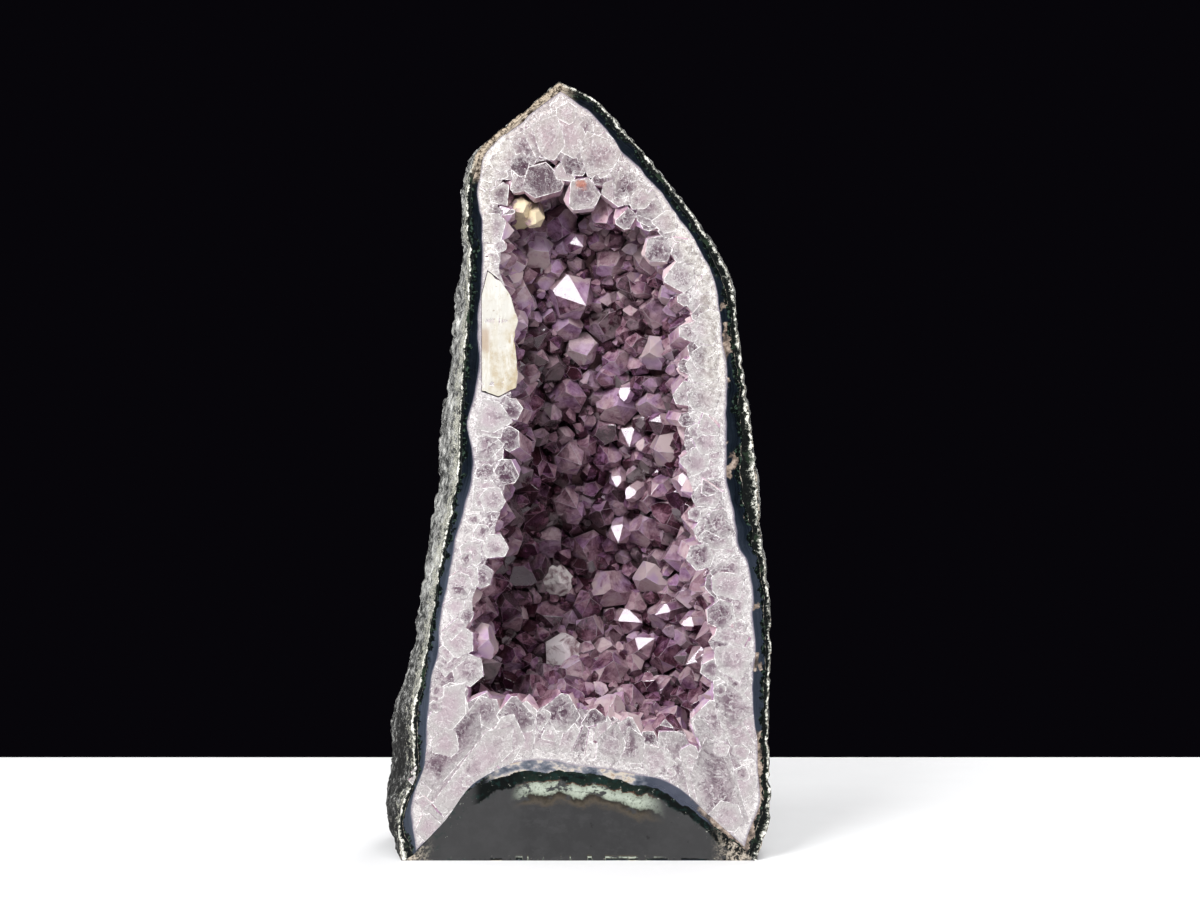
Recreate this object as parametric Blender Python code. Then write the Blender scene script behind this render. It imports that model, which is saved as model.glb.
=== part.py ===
"""Amethyst cathedral geode: half of a tall, pointed basalt geode, sawn open in front and flat at its foot.

Four pieces: the basalt rind, the agate band that lines it, the crust of amethyst crystals and the calcite
block in the left wall. The sawn face is the plane y = FACE_Y and looks along -Y. The origin is the middle of
the sawn foot, on the surface that the geode stands on. Sizes below are in millimetres; MM turns them into
metres.
"""

import math
import random

import bmesh
import bpy
import numpy as np
from mathutils import Vector

MM = 0.001

# Overall sizes
HEIGHT = 400.0
FACE_Y = -70.0
BACK_DEPTH = 150.0
GAP = 0.4
BACK_GAP = 1.5

# The hollow closes on an upright line behind the face, its keel
KEEL_X = 6.0
KEEL_LOW_Z = 160.0
KEEL_HIGH_Z = 320.0
HOLLOW_DEPTH_LOW = 116.0
HOLLOW_DEPTH_HIGH = 60.0
HOLLOW_FULLNESS = 0.8
BACK_AGATE = 5.0
BACK_QUARTZ = 11.0
ROOT_SHARE = 0.42
LAST_TURN = math.radians(80)
SAW_LEAD = 6.0
BED_SKIP = 2

# The back of the rind
BACK_SQUARENESS = 2.6
BULGE_PLACE = 0.3
LUMP_HEIGHT = 4.6
LUMP_SIZE = 36.0
PIT_HEIGHT = 2.0
PIT_SIZE = 14.0
RIGHT_SPREAD = 0.03
FOOT_TUCK = 0.09
FOOT_TUCK_HEIGHT = 16.0

# How finely each surface is divided
RIM_ROWS = 22
FLOOR_STEPS = 12
BACK_STEPS = 14
HOLLOW_STEPS = 5

# Crystals: lengths of a crystal's parts are in shares of its radius where they are below 2
CRYSTAL_SEED = 11
CRYSTAL_TRIES = 3000
CRYSTAL_RADIUS = (8.5, 13.0)
CRYSTAL_SPACING = 0.9
CRYSTAL_SHAFT = (1.0, 6.0)
ROOT_DEPTH = 0.6
CRYSTAL_LEAN = 0.28
NAMED_LEAN = 0.35
NAMED_REACH = 10.0
NAMED_SHAFT = 0.5
EYE = (11.0, -1300.0, 234.0)
TIP_HEIGHT = 1.15
TIP_OFFSET = 0.25
CORNER_REACH = (0.86, 1.1)
SHOULDER_STEP = 0.22
FIRST_TURN = 0.02

# Plain colours
BASALT = (0.10, 0.10, 0.095)
AGATE = (0.06, 0.08, 0.13)
AMETHYST = (0.30, 0.22, 0.36)
CALCITE = (0.80, 0.74, 0.62)
CUTTER = (1.0, 1.0, 1.0)

# Stations up the left and the right of the sawn face. Each row gives the rim's x and z, the x and z of the
# wall where basalt meets agate, and the widths of the agate and of the quartz inside it.
LEFT_SIDE = (
    (-92.0, 0.0, -85.0, 3.0, 3.0, 84.0),
    (-93.0, 21.0, -90.0, 22.0, 6.0, 57.0),
    (-85.5, 47.0, -82.0, 47.0, 3.5, 42.0),
    (-86.0, 73.0, -82.5, 73.0, 7.0, 30.0),
    (-81.0, 98.5, -78.5, 98.5, 5.5, 25.0),
    (-76.5, 124.5, -74.5, 124.5, 5.0, 19.5),
    (-67.5, 175.5, -65.0, 175.5, 5.0, 21.5),
    (-62.5, 201.0, -60.5, 201.0, 5.0, 19.5),
    (-61.5, 227.0, -59.5, 227.0, 3.5, 22.0),
    (-60.0, 252.5, -57.5, 252.5, 6.5, 18.5),
    (-58.0, 278.0, -56.0, 278.0, 4.5, 18.5),
    (-56.5, 304.0, -54.5, 304.0, 5.0, 11.0),
    (-57.5, 329.5, -55.5, 329.5, 5.0, 11.0),
    (-56.0, 354.0, -54.0, 352.5, 4.0, 14.0),
    (-52.0, 364.0, -50.5, 361.5, 1.2, 18.0),
    (-27.0, 386.0, -26.0, 383.5, 1.2, 27.0),
    (-10.0, HEIGHT, -9.5, 396.0, 1.5, 42.0),
)
RIGHT_SIDE = (
    (92.0, 0.0, 87.0, 4.0, 3.0, 68.0),
    (99.0, 24.0, 95.0, 26.0, 4.0, 52.0),
    (98.5, 45.0, 94.5, 45.0, 4.0, 40.0),
    (97.5, 73.0, 94.5, 73.0, 6.0, 29.0),
    (99.0, 124.0, 96.0, 124.0, 7.0, 23.0),
    (96.5, 147.5, 93.5, 147.5, 7.0, 22.0),
    (93.5, 170.5, 88.0, 170.5, 6.5, 21.5),
    (92.0, 196.0, 83.5, 196.0, 7.5, 22.0),
    (88.5, 222.0, 82.0, 222.0, 6.5, 23.0),
    (85.0, 247.5, 81.5, 247.5, 6.0, 22.5),
    (81.5, 273.0, 78.5, 273.0, 4.5, 16.5),
    (78.0, 299.0, 74.5, 297.5, 4.0, 18.0),
    (52.5, 340.0, 50.0, 338.5, 4.0, 17.0),
    (21.5, 377.0, 19.0, 375.5, 6.0, 26.0),
    (6.0, 392.5, 3.5, 390.5, 4.5, 33.0),
    (-10.0, HEIGHT, -9.5, 396.0, 1.5, 42.0),
)
# How far the flanks swell out behind the rim: height, left and right
FLANK_BULGE = (
    (0.0, 2.0, 0.0),
    (30.0, 11.0, 1.0),
    (63.0, 13.5, 1.0),
    (83.0, 9.5, 1.0),
    (134.0, 9.0, 1.0),
    (186.0, 9.0, 1.0),
    (211.0, 10.5, 1.0),
    (263.0, 7.0, 1.0),
    (314.0, 4.0, 1.0),
    (345.0, 2.5, 1.0),
    (HEIGHT, 0.0, 0.0),
)
# The arch over the basalt foot, left to right: the wall's x and z, the agate's width and the quartz's width
FLOOR_ARCH = (
    (-69.0, 20.0, 2.0, 62.0),
    (-55.5, 37.0, 2.5, 45.0),
    (-40.0, 45.5, 3.0, 37.0),
    (-9.0, 48.0, 2.5, 31.0),
    (21.5, 43.5, 3.5, 30.0),
    (46.5, 35.0, 6.0, 25.0),
    (72.5, 16.0, 6.0, 50.0),
)

# The crystals that stand out: the x and z where each shows through the sawn face from EYE, and its radius
NAMED_CRYSTALS = (
    (5.5, 292.0, 14.5),
    (-17.5, 345.0, 10.5),
    (2.0, 338.0, 9.5),
    (18.5, 340.0, 9.5),
    (-38.5, 344.0, 8.5),
    (-27.0, 331.0, 8.5),
    (40.5, 312.5, 10.0),
    (-4.0, 273.5, 9.5),
    (-26.0, 270.5, 8.5),
    (19.0, 257.5, 9.5),
    (36.5, 262.0, 10.5),
    (16.5, 234.5, 12.5),
    (35.0, 236.0, 10.5),
    (40.5, 213.0, 11.0),
    (24.0, 218.5, 8.5),
    (3.5, 210.0, 11.5),
    (-22.5, 216.0, 8.5),
    (7.5, 171.0, 9.0),
    (-5.5, 184.0, 10.5),
    (31.5, 171.0, 10.5),
    (32.0, 186.0, 8.5),
    (-30.0, 165.5, 9.5),
    (-9.5, 144.5, 10.0),
    (17.5, 142.5, 13.0),
    (35.0, 144.0, 10.5),
    (-30.0, 125.5, 10.5),
    (-9.0, 112.0, 11.5),
    (42.0, 106.5, 12.0),
    (57.5, 103.5, 9.0),
    (16.5, 103.5, 12.0),
    (27.0, 126.5, 9.0),
    (-31.5, 80.0, 10.5),
    (-10.0, 81.5, 10.5),
    (41.0, 72.0, 11.0),
    (68.5, 72.5, 12.0),
    (69.5, 93.5, 9.0),
    (-44.0, 116.5, 9.5),
)

# The calcite block in the left of the face: its outline, clockwise as seen from the front
CALCITE_OUTLINE = (
    (-49.6, 242.0),
    (-49.6, 291.0),
    (-46.5, 303.0),
    (-40.0, 298.0),
    (-35.0, 291.0),
    (-33.2, 284.5),
    (-31.0, 278.0),
    (-33.0, 268.5),
    (-31.0, 251.0),
    (-32.0, 243.5),
    (-41.0, 239.0),
)
CALCITE_DEPTH = 26.0
CALCITE_TAPER = 0.86


def clear_scene():
    """Empties the scene that Blender opened with."""
    for old in list(bpy.data.objects):
        bpy.data.objects.remove(old)


def hermite(knots, values, at):
    """A smooth curve through values at knots, of cubic pieces that share their slopes at the knots."""
    knots = np.asarray(knots, float)
    values = np.asarray(values, float)
    slopes = np.gradient(values, knots, axis=0)
    index = np.clip(np.searchsorted(knots, at, side="right") - 1, 0, len(knots) - 2)
    step = knots[index + 1] - knots[index]
    t = (at - knots[index]) / step
    t = t[:, None]
    step = step[:, None]
    start, end = values[index], values[index + 1]
    return (
        (2 * t**3 - 3 * t**2 + 1) * start
        + (t**3 - 2 * t**2 + t) * step * slopes[index]
        + (3 * t**2 - 2 * t**3) * end
        + (t**3 - t**2) * step * slopes[index + 1]
    )


def lattice_noise(points, cell, seed):
    """Smooth noise from -1 to 1: random values on a cubic lattice, blended between its corners."""
    scaled = points / cell
    corner = np.floor(scaled).astype(np.int64)
    part = scaled - corner
    part = part * part * (3 - 2 * part)
    total = np.zeros(len(points))
    for dx in (0, 1):
        for dy in (0, 1):
            for dz in (0, 1):
                x, y, z = (corner + (dx, dy, dz)).T
                mixed = (x * 73856093) ^ (y * 19349663) ^ (z * 83492791) ^ (seed * 40503)
                mixed = (mixed ^ (mixed >> 13)) * 1274126177 & 0x7FFFFFFF
                mixed = (mixed ^ (mixed >> 15)) & 0xFFFF
                weight = (
                    (part[:, 0] if dx else 1 - part[:, 0])
                    * (part[:, 1] if dy else 1 - part[:, 1])
                    * (part[:, 2] if dz else 1 - part[:, 2])
                )
                total += weight * (mixed / 32767.5 - 1)
    return total


def face_loops():
    """The closed loops of the sawn face as arrays of x, z, point for point alike.

    They run up the left side, over the apex, down the right and back along the floor. The rim comes first,
    then the wall where basalt meets agate, the agate's inner edge, the quartz's inner edge and the keel.
    """
    rise = HEIGHT * (1 - (1 - np.arange(RIM_ROWS) / RIM_ROWS) ** 1.35)
    left = np.array(LEFT_SIDE)
    right = np.array(RIGHT_SIDE)
    up = hermite(left[:, 1], left, rise)
    down = hermite(right[:, 1], right, rise)[::-1]
    arch = np.vstack([left[0, 2:], FLOOR_ARCH, right[0, 2:]])
    along = np.concatenate([[0], np.cumsum(np.linalg.norm(np.diff(arch[:, :2], axis=0), axis=1))])
    steps = np.linspace(0, along[-1], FLOOR_STEPS + 2)[1:-1][::-1]
    floor = hermite(along, arch, steps)
    floor = np.column_stack([floor[:, 0], np.zeros(len(floor)), floor])
    table = np.vstack([up, left[-1], down, floor])
    rim, wall = table[:, 0:2], table[:, 2:4]
    level = np.concatenate([rise, [HEIGHT], rise[::-1], np.zeros(len(floor))])
    keel = np.column_stack([np.full(len(wall), KEEL_X), np.clip(level, KEEL_LOW_Z, KEEL_HIGH_Z)])
    inward = keel - wall
    inward /= np.linalg.norm(inward, axis=1)[:, None]
    agate = wall + inward * table[:, 4:5]
    quartz = agate + inward * table[:, 5:6]
    return rim, wall, agate, quartz, keel


def inset_loop(loop, distance):
    """A closed loop moved inwards by a distance, square to its own edges."""
    before = loop - np.roll(loop, 1, axis=0)
    after = np.roll(loop, -1, axis=0) - loop
    before /= np.linalg.norm(before, axis=1)[:, None]
    after /= np.linalg.norm(after, axis=1)[:, None]
    square = np.column_stack([before[:, 1] + after[:, 1], -before[:, 0] - after[:, 0]])
    mitre = 2 / np.sum(square * square, axis=1)[:, None]
    return loop + distance * mitre * square


def hollow_depth(keel_z, inset):
    """How deep a bowl is behind the face at a height on the keel."""
    share = (keel_z - KEEL_LOW_Z) / (KEEL_HIGH_Z - KEEL_LOW_Z)
    return HOLLOW_DEPTH_LOW + (HOLLOW_DEPTH_HIGH - HOLLOW_DEPTH_LOW) * share - inset


def bowl_point(loop, keel, depth, turn):
    """Points of a bowl: each loop point swings from the face, at turn 0, to the keel, at a quarter turn."""
    shrink = np.maximum(np.cos(turn), 0) ** HOLLOW_FULLNESS
    sink = np.sin(turn) ** HOLLOW_FULLNESS
    flat = keel + (loop - keel) * np.reshape(shrink, (-1, 1))
    return np.column_stack([flat[:, 0], FACE_Y + depth * sink, flat[:, 1]])


def hollow(loop, keel, inset):
    """Rows of points of a bowl behind a face loop."""
    depth = hollow_depth(keel[:, 1], inset)
    turns = np.linspace(0, LAST_TURN, HOLLOW_STEPS + 1)
    return np.array([bowl_point(loop, keel, depth, turn) for turn in turns])


def keel_ends(keel, inset):
    """The points of the keel on which a bowl closes, and which of them each loop point closes on."""
    levels, index = np.unique(keel[:, 1], return_inverse=True)
    depth = hollow_depth(levels, inset)
    return np.column_stack([np.full(len(levels), KEEL_X), FACE_Y + depth, levels]), index


def strip_faces(first, second):
    """Quads between two closed rings of vertex numbers."""
    count = len(first)
    return [
        (first[i], first[(i + 1) % count], second[(i + 1) % count], second[i])
        for i in range(count)
    ]


def new_object(name, points, faces, colour, roughness, metallic=0.0):
    """An object from points in millimetres and faces, turned outwards, with one plain material."""
    mesh = bpy.data.meshes.new(name)
    mesh.from_pydata([tuple(p * MM) for p in points], [], faces)
    body = bmesh.new()
    body.from_mesh(mesh)
    bmesh.ops.triangulate(body, faces=body.faces, quad_method="FIXED")
    bmesh.ops.recalc_face_normals(body, faces=body.faces)
    body.to_mesh(mesh)
    body.free()
    material = bpy.data.materials.new(name)
    material.use_nodes = True
    shader = material.node_tree.nodes["Principled BSDF"]
    shader.inputs["Base Color"].default_value = (*colour, 1.0)
    shader.inputs["Roughness"].default_value = roughness
    shader.inputs["Metallic"].default_value = metallic
    mesh.materials.append(material)
    made = bpy.data.objects.new(name, mesh)
    bpy.context.scene.collection.objects.link(made)
    return made


def bowl_faces(rows, columns, index, start):
    """Faces of a bowl whose rings are numbered from start on and whose keel points follow them."""
    rings = [list(range(start + r * columns, start + (r + 1) * columns)) for r in range(rows)]
    faces = []
    for first, second in zip(rings, rings[1:]):
        faces += strip_faces(first, second)
    ends = start + rows * columns + index
    last = rings[-1]
    for a in range(columns):
        b = (a + 1) % columns
        if ends[a] == ends[b]:
            faces.append((last[a], last[b], ends[a]))
        else:
            faces.append((last[a], last[b], ends[b], ends[a]))
    return faces


def shell(name, outer_loop, outer_inset, inner_loop, inner_inset, keel, colour, roughness):
    """A bowl with a wall: an outer and an inner bowl, joined along the face."""
    outer = hollow(outer_loop, keel, outer_inset)
    inner = hollow(inner_loop, keel, inner_inset)
    outer_ends, index = keel_ends(keel, outer_inset)
    inner_ends, _ = keel_ends(keel, inner_inset)
    rows, count = outer.shape[:2]
    points = np.vstack([outer.reshape(-1, 3), outer_ends, inner.reshape(-1, 3), inner_ends])
    second = rows * count + len(outer_ends)
    faces = bowl_faces(rows, count, index, 0) + bowl_faces(rows, count, index, second)
    faces += strip_faces(list(range(count)), list(range(second, second + count)))
    return new_object(name, points, faces, colour, roughness)


def filled_bowl(name, loop, inset, keel, lead, colour):
    """The solid inside a bowl, closed flat across its first ring, which may lead out of the face."""
    rows = hollow(loop, keel, inset)
    rows[0, :, 1] -= lead
    ends, index = keel_ends(keel, inset)
    points = np.vstack([rows.reshape(-1, 3), ends])
    faces = [tuple(range(rows.shape[1]))] + bowl_faces(*rows.shape[:2], index, 0)
    return new_object(name, points, faces, colour, 0.2)


def back_depth(z):
    """How far the rind reaches behind the face at each height: full at the foot, closing over the apex."""
    tuck = 1 - FOOT_TUCK * np.exp(-z / FOOT_TUCK_HEIGHT)
    return BACK_DEPTH * np.sqrt(np.clip(1 - (z / HEIGHT) ** 3, 0, 1)) * tuck


def back_rows(rim):
    """Rows of points round the back, one for each height, from the left rim to the right rim.

    The right flank runs back nearly square to the face, so that from the front it hides behind its rim.
    """
    left = rim[:RIM_ROWS]
    right = rim[RIM_ROWS + 1 : 2 * RIM_ROWS + 1][::-1]
    turn = np.linspace(0, math.pi, BACK_STEPS + 1)
    across = np.sign(np.cos(turn)) * np.abs(np.cos(turn)) ** (2 / BACK_SQUARENESS)
    behind = np.sin(turn) ** (2 / BACK_SQUARENESS)
    swell = behind / BULGE_PLACE * np.exp(1 - behind / BULGE_PLACE)
    stations = np.array(FLANK_BULGE)
    bulges = hermite(stations[:, 0], stations[:, 1:], left[:, 1])
    rows = []
    for (left_x, z), (right_x, _), (left_bulge, right_bulge) in zip(left, right, bulges):
        middle = (left_x + right_x) / 2
        half = (right_x - left_x) / 2
        reach = half + swell * np.where(across > 0, left_bulge, right_bulge)
        x = middle - reach * across
        y = FACE_Y + back_depth(np.array(z)) * behind
        rows.append(np.column_stack([x, y, np.full(len(x), z)]))
    rows = np.array(rows)
    flat = rows.reshape(-1, 3)
    lumps = LUMP_HEIGHT * lattice_noise(flat, LUMP_SIZE, 3) + PIT_HEIGHT * lattice_noise(flat, PIT_SIZE, 8)
    lumps = lumps.reshape(rows.shape[:2]) * np.minimum(behind * 3, 1)[None, :]
    outward = np.stack([-across, behind], axis=1)
    rows[:, :, :2] += outward[None, :, :] * lumps[:, :, None]
    flank_limit = right[:, :1] + RIGHT_SPREAD * (rows[:, :, 1] - FACE_Y)
    rows[:, :, 0] = np.minimum(rows[:, :, 0], flank_limit)
    rows[:, [0, -1], 0] = np.column_stack([left[:, 0], right[:, 0]])
    rows[:, [0, -1], 1] = FACE_Y
    return rows


def basalt_rind(rim, wall, keel):
    """The rough outer stone: its back, sawn foot, the sawn ring of the face and the wall of the hollow."""
    back = back_rows(rim)
    count = len(rim)
    apex = np.array([rim[RIM_ROWS, 0], FACE_Y, rim[RIM_ROWS, 1]])
    floor = np.column_stack([rim[-FLOOR_STEPS:, 0], np.full(FLOOR_STEPS, FACE_Y), np.zeros(FLOOR_STEPS)])
    inner = hollow(wall, keel, 0.0)
    ends, index = keel_ends(keel, 0.0)
    points = np.vstack([back.reshape(-1, 3), [apex], floor, inner.reshape(-1, 3), ends])
    wide = BACK_STEPS + 1
    apex_at = RIM_ROWS * wide
    floor_at = apex_at + 1
    inner_at = floor_at + FLOOR_STEPS
    faces = []
    for row in range(RIM_ROWS - 1):
        for step in range(BACK_STEPS):
            a = row * wide + step
            faces.append((a, a + 1, a + wide + 1, a + wide))
    top = (RIM_ROWS - 1) * wide
    faces += [(top + step, top + step + 1, apex_at) for step in range(BACK_STEPS)]
    foot_back = list(range(wide))
    foot_front = list(range(floor_at, floor_at + FLOOR_STEPS))
    faces.append(tuple(foot_back + foot_front))
    ring = (
        [row * wide for row in range(RIM_ROWS)]
        + [apex_at]
        + [row * wide + BACK_STEPS for row in reversed(range(RIM_ROWS))]
        + foot_front
    )
    faces += strip_faces(ring, list(range(inner_at, inner_at + count)))
    faces += bowl_faces(len(inner), count, index, inner_at)
    return new_object("basalt_rind", points, faces, BASALT, 0.85)


def join_bodies(name, bodies):
    """One object of many closed bodies, each given as points and faces."""
    points = []
    faces = []
    for body_points, body_faces in bodies:
        start = len(points)
        points += [tuple(p * MM) for p in body_points]
        faces += [tuple(start + i for i in face) for face in body_faces]
    mesh = bpy.data.meshes.new(name)
    mesh.from_pydata(points, [], faces)
    body = bmesh.new()
    body.from_mesh(mesh)
    bmesh.ops.recalc_face_normals(body, faces=body.faces)
    body.to_mesh(mesh)
    body.free()
    made = bpy.data.objects.new(name, mesh)
    bpy.context.scene.collection.objects.link(made)
    return made


def boolean(target, tool, operation):
    """Adds a Boolean to the target and hides its tool."""
    modifier = target.modifiers.new(operation.lower(), "BOOLEAN")
    modifier.operation = operation
    modifier.object = tool
    modifier.use_self = True
    tool.hide_render = True
    tool.display_type = "WIRE"
    return modifier


def keep_largest_body(target):
    """Applies the modifiers, then fills the pockets that crystals closed off and drops loose chips."""
    graph = bpy.context.evaluated_depsgraph_get()
    mesh = bpy.data.meshes.new_from_object(target.evaluated_get(graph))
    target.modifiers.clear()
    body = bmesh.new()
    body.from_mesh(mesh)
    left = set(body.verts)
    islands = []
    while left:
        reached = {left.pop()}
        edge = list(reached)
        while edge:
            vert = edge.pop()
            for link in vert.link_edges:
                other = link.other_vert(vert)
                if other not in reached:
                    reached.add(other)
                    edge.append(other)
        left -= reached
        islands.append(reached)
    largest = max(islands, key=len)
    print(len(islands), "bodies, the largest of", len(largest), "points")
    extra = [vert for island in islands if island is not largest for vert in island]
    bmesh.ops.delete(body, geom=extra, context="VERTS")
    body.to_mesh(mesh)
    body.free()
    target.data = mesh


def crystal(root, direction, radius, shaft, sunk, rng):
    """A six-sided prism with a six-sided point whose tip is off its axis; all its faces are flat."""
    side = direction.orthogonal().normalized()
    other = direction.cross(side)
    spin = rng.uniform(0, math.pi / 3)
    foot = []
    shoulder = []
    for corner in range(6):
        angle = spin + corner * math.pi / 3
        arm = (side * math.cos(angle) + other * math.sin(angle)) * radius * rng.uniform(*CORNER_REACH)
        step = radius * rng.uniform(-SHOULDER_STEP, SHOULDER_STEP)
        foot.append(root - direction * sunk + arm)
        shoulder.append(root + direction * (shaft + step) + arm)
    lean = (side * rng.uniform(-1, 1) + other * rng.uniform(-1, 1)) * radius * TIP_OFFSET
    tip = root + direction * (shaft + radius * TIP_HEIGHT) + lean
    points = [np.array(p) for p in foot + shoulder + [tip]]
    faces = [(0, 1, 2, 3, 4, 5)]
    for a in range(6):
        b = (a + 1) % 6
        faces += [(a, b, 6 + b), (a, 6 + b, 6 + a), (6 + a, 6 + b, 12)]
    return points, faces


def between(array, at):
    """Rows of a closed array at fractional positions."""
    low = np.floor(at).astype(int)
    part = (at - low)[:, None]
    return array[low % len(array)] * (1 - part) + array[(low + 1) % len(array)] * part


def crystal_bed(agate, quartz, keel, along, turn):
    """The quartz bed at places along the loop and at turns: points, the way they face and thickness."""
    rooting = agate + (quartz - agate) * ROOT_SHARE
    nudge = 1e-3
    keels = between(keel, along)
    root = between(rooting, along)
    depth = hollow_depth(keels[:, 1], BACK_AGATE + BACK_QUARTZ)
    here = bowl_point(root, keels, depth, turn)
    ahead = bowl_point(root, keels, depth, turn + nudge)
    beside = bowl_point(between(rooting, along + nudge), between(keel, along + nudge), depth, turn)
    normal = np.cross(ahead - here, beside - here)
    normal /= np.linalg.norm(normal, axis=1)[:, None]
    centre = np.column_stack([keels[:, 0], np.full(len(keels), FACE_Y), keels[:, 1]])
    normal *= np.sign(np.sum(normal * (centre - here), axis=1))[:, None]
    thickness = np.linalg.norm(between(agate, along) - root, axis=1)
    thickness += (BACK_QUARTZ - thickness) * np.sin(turn)
    return here, normal, thickness


def named_roots(agate, quartz, keel):
    """The places on the bed whose crystals show at the named spots of the face, seen from the eye."""
    along, turn = np.meshgrid(np.arange(0, len(agate), 0.2), np.linspace(FIRST_TURN, LAST_TURN, 60))
    here, normal, thickness = crystal_bed(agate, quartz, keel, along.ravel(), turn.ravel())
    eye = np.array(EYE)
    ray = here + normal * NAMED_REACH - eye
    seen = eye + ray * ((FACE_Y - eye[1]) / ray[:, 1:2])
    picks = [
        int(np.argmin(np.hypot(seen[:, 0] - x, seen[:, 2] - z)))
        for x, z, _ in NAMED_CRYSTALS
    ]
    return here[picks], normal[picks], thickness[picks]


def crystal_bodies(agate, quartz, keel):
    """The named crystals, then others strewn between them, no two roots nearer than their radii allow."""
    draw = random.Random(CRYSTAL_SEED)
    bodies = []
    kept = []
    for spot, way, thickness, (_, _, radius) in zip(*named_roots(agate, quartz, keel), NAMED_CRYSTALS):
        kept.append((spot, radius))
        towards_eye = (Vector(EYE) - Vector(spot)).normalized()
        direction = Vector(way).lerp(towards_eye, NAMED_LEAN).normalized()
        shaft = radius * NAMED_SHAFT
        bodies.append(crystal(Vector(spot), direction, radius, shaft, thickness * ROOT_DEPTH, draw))
    rng = np.random.default_rng(CRYSTAL_SEED)
    along = rng.uniform(0, len(agate), CRYSTAL_TRIES)
    turn = rng.uniform(FIRST_TURN, math.pi / 2, CRYSTAL_TRIES)
    for spot, way, thickness in zip(*crystal_bed(agate, quartz, keel, along, turn)):
        radius = draw.triangular(*CRYSTAL_RADIUS)
        if any(np.linalg.norm(spot - other) < (radius + size) * CRYSTAL_SPACING for other, size in kept):
            continue
        kept.append((spot, radius))
        lean = Vector([draw.uniform(-1, 1) * CRYSTAL_LEAN for _ in range(3)])
        direction = (Vector(way) + lean).normalized()
        shaft = draw.uniform(*CRYSTAL_SHAFT)
        bodies.append(crystal(Vector(spot), direction, radius, shaft, thickness * ROOT_DEPTH, draw))
    print(len(bodies), "crystals")
    return bodies


def tapered_block(name, outline, front_y, back_y, colour):
    """A closed block: an outline on the face, drawn in a little towards its middle at the back."""
    middle = outline.mean(axis=0)
    count = len(outline)
    points = []
    for y in (front_y, back_y):
        size = 1 + (CALCITE_TAPER - 1) * (y - FACE_Y) / CALCITE_DEPTH
        ring = middle + (outline - middle) * size
        points += [np.array((x, y, z)) for x, z in ring]
    front, back = list(range(count)), list(range(count, 2 * count))
    faces = [tuple(front), tuple(back)] + strip_faces(front, back)
    return new_object(name, points, faces, colour, 0.6)


def crystal_crust(agate, quartz, keel):
    """The milky quartz bed with the amethyst crystals grown from it, sawn flush with the face.

    The open space is the inside of the bed less the crystals, and the crust is the inside of the agate less
    that.
    """
    outside = BACK_AGATE + BACK_GAP
    inside = BACK_AGATE + BACK_QUARTZ
    crust = filled_bowl("crystal_crust", inset_loop(agate, GAP), outside, keel, 0.0, AMETHYST)
    root = agate + (quartz - agate) * ROOT_SHARE
    space = filled_bowl("open_space", root[::BED_SKIP], inside, keel[::BED_SKIP], SAW_LEAD, CUTTER)
    points = join_bodies("crystal_points", crystal_bodies(agate, quartz, keel))
    boolean(space, points, "DIFFERENCE")
    boolean(crust, space, "DIFFERENCE")
    outline = inset_loop(np.array(CALCITE_OUTLINE), -GAP)
    back_y = FACE_Y + CALCITE_DEPTH + GAP
    pocket = tapered_block("calcite_pocket", outline, FACE_Y - SAW_LEAD, back_y, CUTTER)
    boolean(crust, pocket, "DIFFERENCE")
    keep_largest_body(crust)
    return crust


clear_scene()
rim, wall, agate, quartz, keel = face_loops()
basalt_rind(rim, wall, keel)
shell("agate_band", inset_loop(wall, GAP), BACK_GAP, agate, BACK_AGATE, keel, AGATE, 0.2)
crystal_crust(agate, quartz, keel)
tapered_block("calcite_block", np.array(CALCITE_OUTLINE), FACE_Y, FACE_Y + CALCITE_DEPTH, CALCITE)
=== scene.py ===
# %% [markdown]
# # Amethyst cathedral geode
# A cathedral geode is a tall gas bubble in basalt that was lined first with agate, then with milky
# quartz, and at last with amethyst points. This one was sawn open in front and flat across its foot. The
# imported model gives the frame; this script gives every surface its fine form and its finish.

# %% Load the frame
import itertools
import math
import random

import bmesh
import bpy
import numpy as np
from mathutils import Matrix, Vector


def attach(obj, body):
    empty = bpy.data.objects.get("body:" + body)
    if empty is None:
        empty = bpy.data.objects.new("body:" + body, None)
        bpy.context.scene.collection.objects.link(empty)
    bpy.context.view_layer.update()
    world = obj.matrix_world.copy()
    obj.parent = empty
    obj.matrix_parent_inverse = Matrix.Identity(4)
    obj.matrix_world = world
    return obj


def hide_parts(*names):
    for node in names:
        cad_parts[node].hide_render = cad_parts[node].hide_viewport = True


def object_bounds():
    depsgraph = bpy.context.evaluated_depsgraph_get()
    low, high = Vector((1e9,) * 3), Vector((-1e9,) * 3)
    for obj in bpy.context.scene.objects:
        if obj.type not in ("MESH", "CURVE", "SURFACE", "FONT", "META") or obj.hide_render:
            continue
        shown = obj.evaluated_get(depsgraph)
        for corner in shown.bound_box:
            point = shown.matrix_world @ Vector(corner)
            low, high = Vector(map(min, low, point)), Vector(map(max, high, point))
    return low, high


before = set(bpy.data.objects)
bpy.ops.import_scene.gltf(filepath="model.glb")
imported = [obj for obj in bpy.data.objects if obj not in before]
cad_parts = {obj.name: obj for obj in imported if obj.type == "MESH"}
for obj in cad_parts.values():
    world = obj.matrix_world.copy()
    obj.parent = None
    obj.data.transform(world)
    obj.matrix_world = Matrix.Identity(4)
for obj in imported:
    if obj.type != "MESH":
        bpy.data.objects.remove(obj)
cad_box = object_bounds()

MM = 0.001
print("solid model:", sorted(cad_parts), "in a box from", list(cad_box[0]), "to", list(cad_box[1]))

# %% [markdown]
# The camera stands at the photo's point of view, as far as it can be told: a little above and to the
# right of the geode's middle, 1.23 m in front of the sawn face. EYE is in millimetres, as all sizes here
# are until a mesh is made.

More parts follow.
